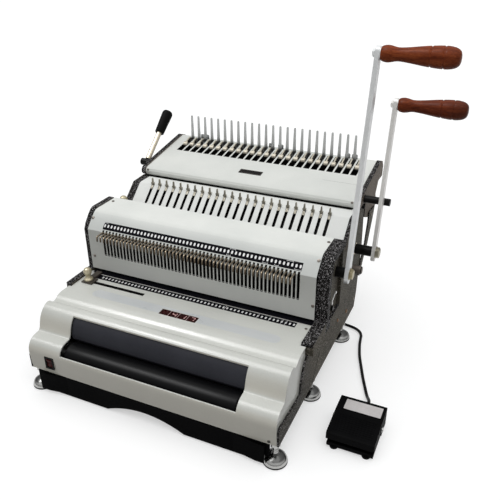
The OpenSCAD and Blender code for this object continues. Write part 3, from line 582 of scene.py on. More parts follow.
cad_mat = {
    "base_pan": SHEET, "front_skirt": SHEET, "side_plate_left": SIDE, "side_plate_right": SIDE, "rear_panel": SHEET,
    "inserter_cover": NOSE, "trough_liner": TROUGH, "display_lens": LENS, "roller_brackets": STEEL, "roller": FOAM,
    "roller_shaft": STEEL, "motor": MOTORM, "motor_pulley": STEEL, "drive_belt": RUBBER, "control_board": BOARD,
    "mains_inlet": BLACKPL, "rocker_bezel": BLACKPL, "rocker": ROCKER, "coil_guide": GUIDEM, "coil_guide_knob": KNOB,
    "coil_cover": COVER, "coil_end_plate_left": ENDS, "coil_end_plate_right": ENDS, "coil_die_block": BLACKOX,
    "coil_press_bar": BLACKOX, "coil_pull_pins": PIN, "front_shaft": BLACKOX, "front_lever_bar": LEVER_F, "front_grip": WOOD_F,
    "throat_shelf": SHEET, "comb_guide": GUIDEM, "comb_guide_knob": KNOB, "comb_cover": COMBCOVER, "comb_die_block": BLACKOX,
    "comb_press_bar": DARKSTEEL, "comb_pull_pins": COMBPIN, "rear_shaft": BLACKOX, "rear_lever_bar": LEVER_R, "rear_grip": WOOD_R,
    "opener_cover": OPENC, "opener_end_plate_left": OPENEND, "opener_end_plate_right": OPENEND, "opener_comb_plate": FINGER,
    "hook_bar": HOOKS, "lever_shaft": BLACKOX, "comb_lever_rod": RODM, "comb_lever_grip": RUBBER, "rear_struts": STRUT,
    "lever_stop_rod": BLACKOX, "shaft_bushes": PIN, "cover_screws": STEEL, "levelling_feet": CHROME, "chip_tray": HAMMER,
    "cable_gland": BLACKPL, "pedal_base": PEDALPL, "pedal_tread": PEDALPL, "pedal_pin": STEEL,
    "pedal_cord_a": CABLE, "cord_coil": CABLE, "pedal_cord_b": CABLE,
}
for name, o in nodes.items():
    o.data.materials.clear()
    o.data.materials.append(cad_mat[name])

# ---------------------------------------------------------------- foot switch cable
route_a = [(150, 366, 46), (150, 373, 46), (150, 380, 46), (150, 388.5, 45), (150.1, 396.5, 42.2), (150.2, 403.7, 37.8), (150.3, 410, 32),
           (150.3, 416.3, 26.2), (150.4, 423.5, 21.8), (150.4, 431.5, 18.9), (150.4, 442.5, 17.9)]
route_b = [(117.5, 409.6, 2.5), (132, 408.2, 2.5), (145, 402.8, 2.5), (154.5, 393.5, 2.5), (161, 382, 2.5), (166.5, 370, 2.5), (174, 359, 2.5),
           (184, 350.5, 2.5), (196, 345, 2.5), (208, 342.5, 2.5), (218, 339, 2.5), (226, 332.5, 2.5), (230.8, 323.5, 2.5), (232.8, 312, 2.5),
           (235, 299, 2.5), (238.5, 284, 2.5), (244, 264, 2.5), (253, 239, 2.5), (262.5, 213.5, 2.5), (270.3, 194.5, 2.5), (275.3, 182.5, 2.5),
           (279, 173.7, 3.1), (282, 166.7, 5.1), (284.6, 160, 8.3), (286.5, 153.5, 11.4), (287.6, 147, 13.4), (288, 140, 14), (288, 133, 14), (288, 126, 14)]
coil_c, r_in, r_out = (117.5, 442.5), 25.1, 32.9
layers = [17.9, 12.8, 7.65, 2.5]
RUN, DROP = 540, 90  # each layer is a flat spiral of one and a half turns, then a quarter turn down to the next
end_angle = 4 * RUN + 3 * DROP


def coil_at(th):
    t = th
    for k, z in enumerate(layers):
        a, b = (r_out, r_in) if k % 2 == 0 else (r_in, r_out)
        if t <= RUN or k == 3:
            r = a + (b - a) * min(t / RUN, 1.0)
            break
        t -= RUN
        if t < DROP:
            e = t / DROP
            r, z = b, z + (layers[k + 1] - z) * e * e * (3 - 2 * e)
            break
        t -= DROP
    return Vector((coil_c[0] + r * math.cos(math.radians(th)), coil_c[1] + r * math.sin(math.radians(th)), z))


line = catmull(route_a, 4)
line += [coil_at(th) for th in range(10, end_angle - 5, 10)]
line += catmull(route_b, 4)
cu = bpy.data.curves.new("pedal_cable", "CURVE")
cu.dimensions = "3D"
sp = cu.splines.new("POLY")
sp.points.add(len(line) - 1)
for p, q in zip(sp.points, line):
    p.co = (*P(*q), 1.0)
cu.bevel_depth = 0.0025
cu.bevel_resolution = 4
cu.use_fill_caps = True
cu.materials.append(CABLE)
cable = link(bpy.data.objects.new("pedal_cable", cu))
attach(cable, "machine")
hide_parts("pedal_cord_a", "cord_coil", "pedal_cord_b")
# tie round the coil, at its back
tie = Mesh()
ang = math.radians(84)
tc = Vector((coil_c[0] + 29 * math.cos(ang), coil_c[1] + 29 * math.sin(ang), 10.66))
tm = Matrix((Vector((math.cos(ang), math.sin(ang), 0)), Vector((0, 0, 1)), Vector((math.sin(ang), -math.cos(ang), 0)))).transposed().to_4x4()
tm.translation = tc
outer, inner = rounded(14.4, 21.28, 2.4, 5), rounded(13.2, 20.1, 1.9, 5)
n = len(outer)
vs = [tm @ Vector((x, y, s)) for s in (-1.6, 1.6) for ring in (outer, inner) for x, y in ring]
fs = []
for k in range(n):
    j = (k + 1) % n
    fs += [(k, j, n + j, n + k), (2 * n + k, 3 * n + k, 3 * n + j, 2 * n + j), (k, 2 * n + k, 2 * n + j, j), (n + k, n + j, 3 * n + j, 3 * n + k)]
tie.add(vs, fs)
tie.box((7.1, -2.4, -2.6), (9.9, 2.4, 2.6), tm)
tie_o = tie.make("cable_tie", BLACKPL, "machine", "black_plastic", 40, 0.25)

# ---------------------------------------------------------------- edges of the metal and moulded parts


def finish(name, width=0.4, angle=30, seg=2):
    """Soft edges on a part: join its points, merge its flats, then round its edges."""
    o = nodes[name]
    me = o.data
    for a in ("custom_normal",):
        if a in me.attributes:
            me.attributes.remove(me.attributes[a])
    shade(me, 30)
    w_ = o.modifiers.new("join", "WELD")
    w_.merge_threshold = 2e-6
    d_ = o.modifiers.new("flats", "DECIMATE")
    d_.decimate_type = "DISSOLVE"
    d_.angle_limit = math.radians(0.4)
    if width:
        bevel(o, width, seg, angle)
    return o


for name, width in {
    "coil_cover": 0.35, "comb_cover": 0.4, "opener_cover": 0.4, "inserter_cover": 0.8,
    "coil_end_plate_left": 0.9, "coil_end_plate_right": 0.9, "opener_end_plate_left": 0.9, "opener_end_plate_right": 0.9,
    "side_plate_left": 0.6, "side_plate_right": 0.6, "rear_struts": 0.6, "front_skirt": 0.4, "base_pan": 0.4, "rear_panel": 0.3,
    "front_lever_bar": 0.9, "rear_lever_bar": 0.9, "rocker_bezel": 0.4, "rocker": 0.4, "coil_guide": 0.35, "comb_guide": 0.35,
    "comb_pull_pins": 0.45, "hook_bar": 0.5, "opener_comb_plate": 0.25, "throat_shelf": 0.3, "chip_tray": 0.6, "mains_inlet": 0.5,
    "pedal_base": 1.6, "pedal_tread": 1.6, "trough_liner": 0.2, "display_lens": 0.2, "roller_brackets": 0.4, "control_board": 0.2,
    "coil_die_block": 0.3, "comb_die_block": 0.3, "coil_press_bar": 0.3, "comb_press_bar": 0.3, "motor": 0.8,
}.items():
    finish(name, width, 30, 3 if width > 0.7 else 2)
for name in ("front_shaft", "rear_shaft", "lever_shaft", "roller_shaft", "motor_pulley", "drive_belt", "coil_guide_knob", "comb_guide_knob",
             "comb_lever_rod", "comb_lever_grip", "lever_stop_rod", "shaft_bushes", "levelling_feet", "cable_gland", "pedal_pin"):
    finish(name, 0.35, 40, 2)

# ---------------------------------------------------------------- shared small shapes
ALONG_X = Matrix(((0, 0, 1, 0), (1, 0, 0, 0), (0, 1, 0, 0), (0, 0, 0, 1)))


def along_x(x):
    """Local X to the back, local Y up, raised along the machine's X from x."""
    m_ = ALONG_X.copy()
    m_.translation = Vector((x, 0, 0))
    return m_


def fill(mesh, m_, outer, holes, h):
    """A flat face at height h with holes in it; outlines are lists of (x, y)."""
    loops = [[Vector((x, y, h)) for x, y in loop] for loop in [outer] + holes]
    flat = [q for loop in loops for q in loop]
    mesh.add([m_ @ q for q in flat], [tuple(t) for t in tessellate_polygon(loops)])


def cross(a, b):
    """Outline of a cross, arms a long and 2 b wide."""
    return [(b, b), (b, a), (-b, a), (-b, b), (-a, b), (-a, -b), (-b, -b), (-b, -a), (b, -a), (b, -b), (a, -b), (a, b)]


def screw(mesh, m_, r, h, turn=20.0):
    """Pan head with a cross recess; local Z points out of the head."""
    m_ = m_ @ Matrix.Rotation(math.radians(turn), 4, "Z")
    n_ = 28
    mesh.lathe([(0, -0.4), (r, -0.4), (r, h * 0.3), (r * 0.96, h * 0.6), (r * 0.86, h * 0.84), (r * 0.72, h * 0.96), (r * 0.62, h)], n_, m_)
    ring = [(r * 0.62 * math.cos(2 * math.pi * k / n_), r * 0.62 * math.sin(2 * math.pi * k / n_)) for k in range(n_)]
    slot_ = cross(r * 0.52, r * 0.13)
    fill(mesh, m_, ring, [slot_], h)
    d = h * 0.3
    k_ = len(slot_)
    mesh.add([m_ @ Vector((x, y, z)) for z in (h, d) for x, y in slot_], [(i, (i + 1) % k_, k_ + (i + 1) % k_, k_ + i) for i in range(k_)])
    fill(mesh, m_, slot_, [], d)


def hexhead(mesh, m_, r, h, washer=0.0, wh=0.9):
    """Hex bolt head with a chamfered crown, on a washer."""
    z0 = 0.0
    if washer:
        mesh.lathe([(0, 0), (washer - 0.25, 0), (washer, 0.25), (washer, wh - 0.25), (washer - 0.25, wh), (0, wh)], 36, m_)
        z0 = wh
    six = [(r * math.cos(math.radians(60 * k)), r * math.sin(math.radians(60 * k))) for k in range(6)]
    mesh.prism(six, m_ @ Matrix.Translation((0, 0, z0)), h * 0.82)
    top = [(x * 0.86, y * 0.86) for x, y in six]
    mesh.add([m_ @ Vector((x, y, z0 + h * 0.82)) for x, y in six] + [m_ @ Vector((x, y, z0 + h)) for x, y in top],
             [(k, (k + 1) % 6, 6 + (k + 1) % 6, 6 + k) for k in range(6)] + [tuple(range(6, 12))])


def flat(mesh, m_, pts, lo, hi):
    mesh.prism(pts, m_ @ Matrix.Translation((0, 0, lo)), hi - lo)


# ---------------------------------------------------------------- screws
scr = Mesh()
for sx_ in (-1, 1):
    screw(scr, place((191.5 * sx_, 152.5, 156), (0, -1, 0)), 2.5, 1.3, 20 + 40 * sx_)
    screw(scr, place((191.5, 170, 221.8) if sx_ > 0 else (-196, 166.5, 218.65), (0, -0.7155, 0.699)), 2.5, 1.3, 35 - 10 * sx_)
    screw(scr, place((191 * sx_, 217, 228.8), (0, 0, 1)), 2.5, 1.3, 10 + 30 * sx_)
    screw(scr, place((193 * sx_, 332.2, 246.96), (0, -0.8654, 0.501)), 2.0, 1.25, 50 * sx_)
    screw(scr, place((189 * sx_, 134, 127), (0, 0, 1)), 2.2, 1.05, 30 * sx_)
    screw(scr, place((209 * sx_, 414, 196), (sx_, 0, 0), (0, 1, 0)), 3.5, 2.0, 12)
    screw(scr, place((209 * sx_, 367, 110), (sx_, 0, 0), (0, 1, 0)), 3.0, 2.0, 33)
screws = scr.make("panel_screws", SCREW, "machine", "steel", 30)
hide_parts("cover_screws")
scr = Mesh()
screw(scr, place((192, -11.05, 43.5), (0, -0.9956, -0.0941)), 2.2, 1.45, 40)
scr.make("nose_screw", SCREWDARK, "machine", "black_steel", 30)
scr = Mesh()
for x_, z_ in ((-190, 60), (190, 60), (-190, 190), (190, 190), (0, 190), (0, 60)):
    screw(scr, place((x_, 351.5, z_), (0, 1, 0)), 3.0, 1.6, x_ * 0.3 + z_)
for sx_ in (-1, 1):
    for y_, z_ in ((345, 120), (345, 60)) + (((20, 50), (120, 50)) if sx_ < 0 else ()):
        screw(scr, place((206 * sx_, y_, z_), (sx_, 0, 0), (0, 1, 0)), 3.0, 1.7, y_ + z_)
screw(scr, place((206, 186.5, 72.8), (1, 0, 0), (0, 1, 0)), 1.7, 1.1, 25)
scr.make("frame_screws", SCREW, "machine", "steel", 30)

# ---------------------------------------------------------------- levers
F_AX, R_AX = (207 + 309 * math.sin(math.radians(12.5)), 189 + 309 * math.cos(math.radians(12.5))), (328 + 236.6 * math.sin(math.radians(12)), 168.5 + 236.6 * math.cos(math.radians(12)))


def soft(pts, n_):
    return [tuple(q)[:2] for q in catmull([(a, b, 0) for a, b in pts], n_)]


grip_prof = soft([(0, 6.8), (0.6, 8.0), (1.8, 9.3), (4.5, 10.5), (9.5, 11.2), (14.5, 10.6), (19, 9.5), (23.5, 8.9), (30, 9.2), (40, 10.3), (50, 11.7), (58, 12.75), (63.6, 13.35)], 3)
grip_prof += [(64.0, 13.2), (64.5, 12.7), (65.1, 12.5), (65.7, 12.7), (66.2, 13.3), (66.6, 13.6)]
grip_prof += soft([(68, 13.75), (75, 14.3), (80.4, 14.5)], 3)
grip_prof += [(80.8, 14.35), (81.3, 13.85), (81.9, 13.65), (82.5, 13.85), (83, 14.3), (83.4, 14.5)]
grip_prof += soft([(86, 14.45), (89, 14.2), (95, 13), (99, 11), (101.5, 8.4), (102.6, 5.2), (102.95, 2.5), (103, 0)], 3)
for tag, x0, ax, lean, mat, cad in (("front", 228.7, F_AX, 12.5, WOOD_F, "front_grip"), ("rear", 240.5, R_AX, 12, WOOD_R, "rear_grip")):
    g = Mesh()
    g.lathe([(0, 0.0)] + [(r, h) for h, r in grip_prof], 56, place((x0, ax[0], ax[1]), (1, 0, 0), (0, 0, 1)))
    o = g.make(tag + "_grip_wood", mat, tag + "_handle", "grip_wood", 50)
    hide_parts(cad)
    g = Mesh()
    inner = 222 if tag == "front" else 234
    outer_ = 228.5 if tag == "front" else 240
    g.lathe([(0, 0), (8.6, 0), (8.9, 0.3), (8.9, 1.1), (8.5, 1.5), (0, 1.5)], 40, place((outer_ - 0.05, ax[0], ax[1]), (1, 0, 0), (0, 0, 1)))
    hexhead(g, place((inner + 0.05, ax[0], ax[1]), (-1, 0, 0), (0, 0, 1)), 5.6, 3.4, 6.6, 0.8)
    g.make(tag + "_grip_bolt", LEVER_F if tag == "front" else LEVER_R, tag + "_handle", "lever_paint", 30, 0.15)
g = Mesh()
hexhead(g, place((228.55, 207, 189), (1, 0, 0), (0, math.sin(math.radians(12.5)), math.cos(math.radians(12.5)))), 8.2, 4.5, 9.0, 0.9)
g.make("front_pivot_bolt", YELLOWZINC, "front_handle", "steel", 30, 0.2)
g = Mesh()
hexhead(g, place((240.05, 328, 168.5), (1, 0, 0), (0, math.sin(math.radians(12)), math.cos(math.radians(12)))), 9.4, 5.6, 10.0, 1.0)
g.make("rear_pivot_bolt", OLIVE, "rear_handle", "steel", 30, 0.2)
g = Mesh()
g.lathe([(0, 0), (6.75, 0), (6.75, 15.5), (6.7, 18.5), (6.3, 20.4), (5.2, 21.4), (3.2, 21.9), (0, 22.0)], 40, place((206.1, 294.6, 148.6), (1, 0, 0), (0, 0, 1)))
g.make("side_peg_sleeve", PEGM, "machine", "dark_paint", 40)

# ---------------------------------------------------------------- roller
g = Mesh()
end_ = arc(17.4, 0, 2.6, 0, 90, 5)
prof = [(4.1, -142)] + [(17.4 + 2.6 * math.sin(math.radians(a)), -142 + 2.6 * (1 - math.cos(math.radians(a)))) for a in range(0, 91, 18)]
prof += [(20, -100), (20, -50), (20, 0), (20, 50), (20, 100)]
prof += [(17.4 + 2.6 * math.cos(math.radians(a)), 142 - 2.6 + 2.6 * math.sin(math.radians(a))) for a in range(0, 91, 18)] + [(4.1, 142), (4.1, -142)]
g.lathe(prof, 72, place((0, 11.5, 65.5), (1, 0, 0), (0, 0, 1)))
o = g.make("foam_roller", FOAM, "feed_roller", "foam", 40)
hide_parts("roller")

# ---------------------------------------------------------------- pull pins of the coil punch
g = Mesh()
bend = [(138.6 + 3 * math.cos(math.radians(a)), 200 + 3 * math.sin(math.radians(a))) for a in range(90, 181, 18)]
for i in range(53):
    x_ = (i - 26.5) * 6.35
    path = [(x_, 170.4, 203), (x_, 160, 203), (x_, 150, 203), (x_, 142, 203)] + [(x_, y_, z_) for y_, z_ in bend] + [(x_, 135.5, 197.6), (x_, 135.4, 195.4), (x_, 135.4, 194.7), (x_, 135.4, 194.45)]
    g.sweep(path, [1.3] * (len(path) - 2) + [1.1, 0.6], 10)
o = g.make("coil_pin_row", PINROW, "coil_pins", "pin_metal", 45)
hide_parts("coil_pull_pins")

# Painted shade: a thin dark frame round each coil slot on the cover's front.
g = Mesh()
for i in range(54):
    m_ = place(((i - 26.5) * 6.35, 152.5, 0), (0, -1, 0))
    flat(g, m_, [(-2.05, 203.2), (-2.05, 161.6), (-1.2, 160.7), (1.2, 160.7), (2.05, 161.6), (2.05, 203.2), (1.58, 203.2), (1.58, 162.05), (-1.58, 162.05), (-1.58, 203.2)], -0.05, 0.07)
g.make("coil_slot_shade", SLIT, "machine", "dark_sheet", 30)

# ---------------------------------------------------------------- comb punch: painted shade round the slots, and pull pins
TILT = math.radians(40.76)
COMB_X = [(i - 11.5) * 14.2875 + 3 for i in range(24)]


def comb_at(x, u=0.0, h=0.0):
    """On the comb panel: u up the slope, h off its face."""
    q = Vector((x, 268 + u * math.cos(TILT) - h * math.sin(TILT), 210 + u * math.sin(TILT) + h * math.cos(TILT)))
    return place(q, (0, -math.sin(TILT), math.cos(TILT)))


# Painted shade: a thin dark rim round each comb slot, on both faces of the panel.
g = Mesh()
for x_ in COMB_X:
    m_ = comb_at(x_, 21.5)
    outer = rounded(5.1, 41.8, 2.53, 6)
    inner = rounded(3.98, 39.98, 0.3, 6)
    k_ = len(outer)
    for h_ in (0.09, -0.05):
        fill(g, m_, outer, [inner], h_)
    for loop in (outer, inner):
        g.add([m_ @ Vector((x, y, z)) for z in (0.09, -0.05) for x, y in loop], [(i, (i + 1) % k_, k_ + (i + 1) % k_, k_ + i) for i in range(k_)])
g.make("comb_slot_shade", SLIT, "machine", "dark_sheet", 30)
g = Mesh()
head = [(-1.6, 0), (1.6, 0), (3.25, 2.4), (3.1, 3.6), (1.5, 4.5), (0.95, 11.2), (0.5, 11.8), (-0.5, 11.8), (-0.95, 11.2), (-1.5, 4.5), (-3.1, 3.6), (-3.25, 2.4)]
for x_ in COMB_X:
    g.lathe([(0, -16.5), (1.5, -16.5), (1.5, 0.4), (0, 0.4)], 20, comb_at(x_, 39.2))
    for a, b in ((-1.65, -0.45), (0.45, 1.65)):
        g.prism(rounded(b - a, 9.6, 0.4, 3, (a + b) / 2, 35.0), comb_at(x_, 0, -1.3), 2.0)
    g.prism(rounded(3.3, 2.6, 0.5, 3, 0, 39.2), comb_at(x_, 0, -1.3), 2.3)
    q = comb_at(x_, 38.6, 0.5).translation
    g.prism(head, Matrix(((1, 0, 0, q.x), (0, 0, -1, q.y + 1.5), (0, 1, 0, q.z), (0, 0, 0, 1))), 3.0)
o = g.make("comb_pin_row", COMBPIN, "comb_pins", "pin_metal", 35, 0.2)
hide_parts("comb_pull_pins")

# ---------------------------------------------------------------- printed scale on the coil punch's bevel
n1, n2 = Vector((0, -0.768, 0.640)), Vector((0, -0.7155, 0.699))
ny = (n1 + n2).normalized()
g = Mesh()
pts_ = []
for off in (0.12, -0.06):
    row = [Vector((0, 155.6, 207.2)) + n1 * off, Vector((0, 157.5, 209.5)) + ny * off, Vector((0, 164.2, 216.4)) + n2 * off]
    pts_.append([(q.y, q.z) for q in row])
g.prism((pts_[1] + pts_[0][::-1]), along_x(-171), 342)
g.make("coil_scale_band", BLACKPRINT, "machine", "dark_sheet", 25)


def bevel_at(x, u):
    return place((x, 157.5 + 0.699 * u, 209.5 + 0.7155 * u), n2)


def lip_at(x, u):
    return place((x, 157.5 - 0.640 * u, 209.5 - 0.768 * u), n1)


g = Mesh()
mark = rounded(3.0, 5.2, 1.35, 4)
for i in range(54):
    flat(g, bevel_at((i - 26.5) * 6.35, 3.55), mark, 0.11, 0.17)
for a, b in ((-171.0, -164.0), (55.5, 65.0), (146.0, 156.4)):
    flat(g, bevel_at((a + b) / 2, 8.7), rounded(b - a, 0.55, 0.2, 2), 0.11, 0.17)
    for e in (a + 0.28, b - 0.28):
        flat(g, bevel_at(e, 7.9), rounded(0.55, 1.5, 0.2, 2), 0.11, 0.17)
for a, b in ((52.0, 59.2), (110.4, 119.2), (129.2, 136.0), (160.0, 170.4)):
    flat(g, lip_at((a + b) / 2, 1.9), rounded(b - a, 0.55, 0.2, 2), 0.11, 0.17)
    for e in (a + 0.28, b - 0.28):
        flat(g, lip_at(e, 1.2), rounded(0.55, 1.3, 0.2, 2), 0.11, 0.17)
g.make("coil_scale_marks", WHITEPRINT, "machine", "cover_paint", 30)

# ---------------------------------------------------------------- printed scale and band on the panel
top = place((0, 0, 127), (0, 0, 1))
g = Mesh()
flat(g, top, rounded(352.5, 12.4, 0.6, 2, -3.75, 136.9), -0.05, 0.10)
g.make("panel_scale_band", BLACKPRINT, "machine", "dark_sheet", 25)
g = Mesh()
mark = rounded(2.7, 5.2, 1.2, 4)
for i in range(54):
    x_ = (i - 26.5) * 6.35
    flat(g, place((x_ + 1.2, 136.9, 127), (0, 0, 1)), mark, 0.09, 0.16)
for x_ in (58.0, 112.3, 131.3, 150.4, 156.7):
    flat(g, place((x_, 136.9, 127), (0, 0, 1)), [(-0.9, -5.9), (-0.3, -5.9), (0.9, 5.9), (0.3, 5.9)], 0.09, 0.16)
g.make("panel_scale_marks", WHITEPRINT, "machine", "cover_paint", 30)
g = Mesh()
flat(g, top, rounded(388, 1.7, 0.4, 3, 0, 144.15), -0.05, 0.20)
g.make("throat_rim_line", RIMLINE, "machine", "steel", 30, 0.06)
# Painted shade: a black strip on the panel in the throat under the coil punch.
g = Mesh()
flat(g, top, rounded(388, 12.3, 0.6, 3, 0, 151.25), -0.05, 0.24)
g.make("throat_gap_shade", BLACKPRINT, "machine", "dark_sheet", 30, 0.06)
g = Mesh()
flat(g, top, [(-28.4, 84), (-28.4, 103)] + [(-144.5 + 9.5 * math.cos(math.radians(a)), 93.5 + 9.5 * math.sin(math.radians(a))) for a in range(90, 271, 15)], -0.03, 0.05)
flat(g, top, [(155.5 + 9.5 * math.cos(math.radians(a)), 93.5 + 9.5 * math.sin(math.radians(a))) for a in range(-90, 91, 15)] + [(35.4, 103), (35.4, 84)], -0.03, 0.05)
flat(g, top, [(-28.4, 97.8), (35.4, 97.8), (35.4, 103), (-28.4, 103)], -0.03, 0.05)
g.make("panel_tint_band", TINT, "machine", "cover_paint", 25)

# ---------------------------------------------------------------- display
SEGS = {"a": (0, 9.0, 5.6, 1.3), "g": (0, 4.9, 5.6, 1.3), "d": (0, 0.8, 5.6, 1.3), "f": (-3.2, 6.95, 1.3, 3.5), "b": (3.2, 6.95, 1.3, 3.5), "e": (-3.2, 2.85, 1.3, 3.5), "c": (3.2, 2.85, 1.3, 3.5)}
SHEAR = Matrix(((1, 0.12, 0, 0), (0, 1, 0, 0), (0, 0, 1, 0), (0, 0, 0, 1)))
on_, off_ = Mesh(), Mesh()
for k, lit in enumerate(("", "bcfg", "bc", "abc")):
    m_ = place((-19.4 + 15.2 * k, 85.0, 126.8), (0, 0, 1)) @ SHEAR
    for s_, (cx_, cy_, w_, h_) in SEGS.items():
        r_ = 0.6
        flat(on_ if s_ in lit else off_, m_, rounded(w_, h_, r_, 3, cx_, cy_), -0.03, 0.05)
    flat(off_, m_, rounded(1.2, 1.2, 0.55, 4, 5.9, 0.8), -0.03, 0.05)
on_.make("display_digits_lit", SEGMENT, "machine", "lens", 30)
off_.make("display_digits_dark", SEGOFF, "machine", "lens", 30)
g = Mesh()
for x_ in (-12.0, 3.5, 19.0):
    flat(g, place((x_, 89.9, 126.8), (0, 0, 1)), rounded(1.0, 13.4, 0.3, 3), -0.03, 0.07)
g.make("display_dividers", DIVIDER, "machine", "lens", 30)

# ---------------------------------------------------------------- opener top: blank plate, seam, tabs
# Painted shadow: a black strip under the opener's front lip, where the gap shows dark.
g = Mesh()
g.prism([(-196, 329.2), (194, 329.2), (194, 333.2), (-196, 333.2)], place((0, 0, 235.4), (0, 0, 1)), 0.22)
g.prism([(-196, 331.4), (194, 331.4), (194, 333.4), (-196, 333.4)], place((0, 0, 235.6), (0, 0, 1)), 0.5)
g.make("opener_lip_shadow", SLIT, "machine", "dark_sheet", 30, 0.05)
SLOPE = Vector((0, 125, 21)).normalized()
TOPN = Vector((0, -21, 125)).normalized()


def opener_at(x, s_):
    q = Vector((x, 346, 252.5)) + SLOPE * s_
    return place(q, TOPN)


g = Mesh()
flat(g, opener_at(-3.1, 24.9), rounded(43.2, 13.2, 0.8, 3), -0.1, 0.55)
g.make("blank_name_plate", PLATEDARK, "machine", "dark_paint", 30, 0.2)
g = Mesh()
ring_o, ring_i = rounded(41.4, 11.4, 0.6, 3), rounded(40.4, 10.4, 0.5, 3)
m_ = opener_at(-3.1, 24.9)
fill(g, m_, ring_o, [ring_i], 0.62)
k_ = len(ring_o)
for loop in (ring_o, ring_i):
    g.add([m_ @ Vector((x, y, z)) for z in (0.62, 0.5) for x, y in loop], [(i, (i + 1) % k_, k_ + (i + 1) % k_, k_ + i) for i in range(k_)])
fill(g, m_, ring_o, [ring_i], 0.5)
g.make("name_plate_border", SCREW, "machine", "steel", 30)
g = Mesh()
flat(g, opener_at(162.0, 37.0), rounded(70, 0.35, 0.12, 2), -0.05, 0.06)
g.make("opener_seam", SEAM, "machine", "dark_sheet", 30)
g = Mesh()
for a, b in ((-153.5, -145.2), (-143.4, -135.4), (-8.4, 2.4), (10.4, 21.2), (139.8, 150.0), (152.8, 163.4)):
    g.prism(rounded(b - a, 9.4, 2.2, 4, (a + b) / 2, 276.9), Matrix(((1, 0, 0, 0), (0, 0, -1, 468.8), (0, 1, 0, 0), (0, 0, 0, 1))), 1.4)
g.make("comb_stop_tabs", FINGER, "machine", "steel", 30, 0.25)

# ---------------------------------------------------------------- hooks of the opener
HOOK = Matrix(((0, 0, 1, 0), (SLOPE.y, TOPN.y, 0, 346), (SLOPE.z, TOPN.z, 0, 252.5), (0, 0, 0, 1)))


def hook_at(x):
    """Local X up the slope, local Y off it, raised along the machine's X from x."""
    m_ = HOOK.copy()
    m_.translation = m_.translation + Vector((x, 0, 0))
    return m_


nose_ = [(95.6, -2.4), (95.8, 3.4), (95.2, 4.2), (93.6, 4.5), (91.6, 3.9), (89.8, 2.7), (88.7, 1.2), (88.4, -0.4), (88.9, -1.8), (90.2, -2.4)]
finger_ = [(95.0, 2.3), (104.0, 4.1), (112.6, 4.5), (113.0, 5.2), (112.4, 6.1), (110.5, 6.5), (104.0, 6.2), (95.0, 4.2)]
post_ = [(95.0, -2.4), (100.0, -2.4), (100.0, -7.0), (104.4, -7.0), (104.4, 4.15), (95.0, 2.4)]
g, h = Mesh(), Mesh()
for i in range(25):
    x_ = (i - 12) * 14.2875
    g.prism(nose_, hook_at(x_ - 3.7), 7.4)
    g.prism(finger_, hook_at(x_ - 1.15), 2.3)
    h.prism(post_, hook_at(x_ - 1.4), 2.8)
for a, b, x0_, x1_ in (((96, -17), (111, -6.6), -182, 182), ((40, -17), (111, -9), 188, 192), ((40, -17), (111, -9), -192, -188), ((96, -17), (111, -9), 181, 189), ((96, -17), (111, -9), -189, -181)):
    h.prism([(a[0], a[1]), (b[0], a[1]), (b[0], b[1]), (a[0], b[1])], hook_at(x0_), x1_ - x0_)
o = g.make("hook_row", HOOKS, "comb_hooks", "pin_metal", 35, 0.25)
o2 = h.make("hook_rail", BLACKOX, "comb_hooks", "black_steel", 35, 0.2)
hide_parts("hook_bar")

# ---------------------------------------------------------------- rocker marks, inlet pins
g = Mesh()
m_ = place((-165.5, -13.36, 61.3), (0, -0.94, -0.342))
flat(g, m_, rounded(0.7, 3.2, 0.3, 3), -0.1, 0.1)
m_ = place((-165.5, -12.68, 54.6), (0, -0.991, 0.135))
ro, ri = arc(0, 0, 1.75, 0, 345, 23), arc(0, 0, 1.15, 0, 345, 23)
k_ = len(ro)
for h_ in (0.1, -0.1):
    fill(g, m_, ro, [ri], h_)
for loop in (ro, ri):
    g.add([m_ @ Vector((x, y, z)) for z in (0.1, -0.1) for x, y in loop], [(i, (i + 1) % k_, k_ + (i + 1) % k_, k_ + i) for i in range(k_)])
g.make("rocker_marks", SEGOFF, "power_rocker", "rocker_plastic", 30)
g = Mesh()
for x_, z_ in ((-126, 63.8), (-120, 68.4), (-114, 63.8)):
    g.prism(rounded(2.0, 4.2, 0.6, 3), place((x_, 336.8, z_), (0, 1, 0)), 13.5)
g.make("inlet_pins", STEEL, "machine", "steel", 30, 0.3)

# ---------------------------------------------------------------- foot switch details
g = Mesh()
flat(g, place((0, 0, 33), (0, 0, 1)), rounded(53.0, 21.0, 0.8, 3, 287.6, 110.4), -0.1, 0.35)
g.make("pedal_blank_plate", PLATE, "machine", "steel", 30, 0.12)
g = Mesh()
for x_ in (262, 307.5):
    for y_ in (57, 116):
        g.lathe([(0, 0), (5.2, 0), (6.0, 0.6), (6.25, 1.5), (6.25, 2.6), (5.9, 3.2), (0, 3.2)], 32, place((x_, y_, 0), (0, 0, 1)))
g.make("pedal_rubber_feet", RUBBER, "machine", "belt_rubber", 40)
g = Mesh()
for k in range(9):
    y_ = 60 + 3.6 * k
    z_ = 28.5 + (y_ - 53) * 4.5 / 43
    g.prism(rounded(56, 1.5, 0.6, 3), place((284.75, y_, z_ - 0.1), (0, -0.104, 0.9946)), 0.55)
g.make("pedal_tread_ribs", PEDALPL, "foot_tread", "black_plastic", 40, 0.15)

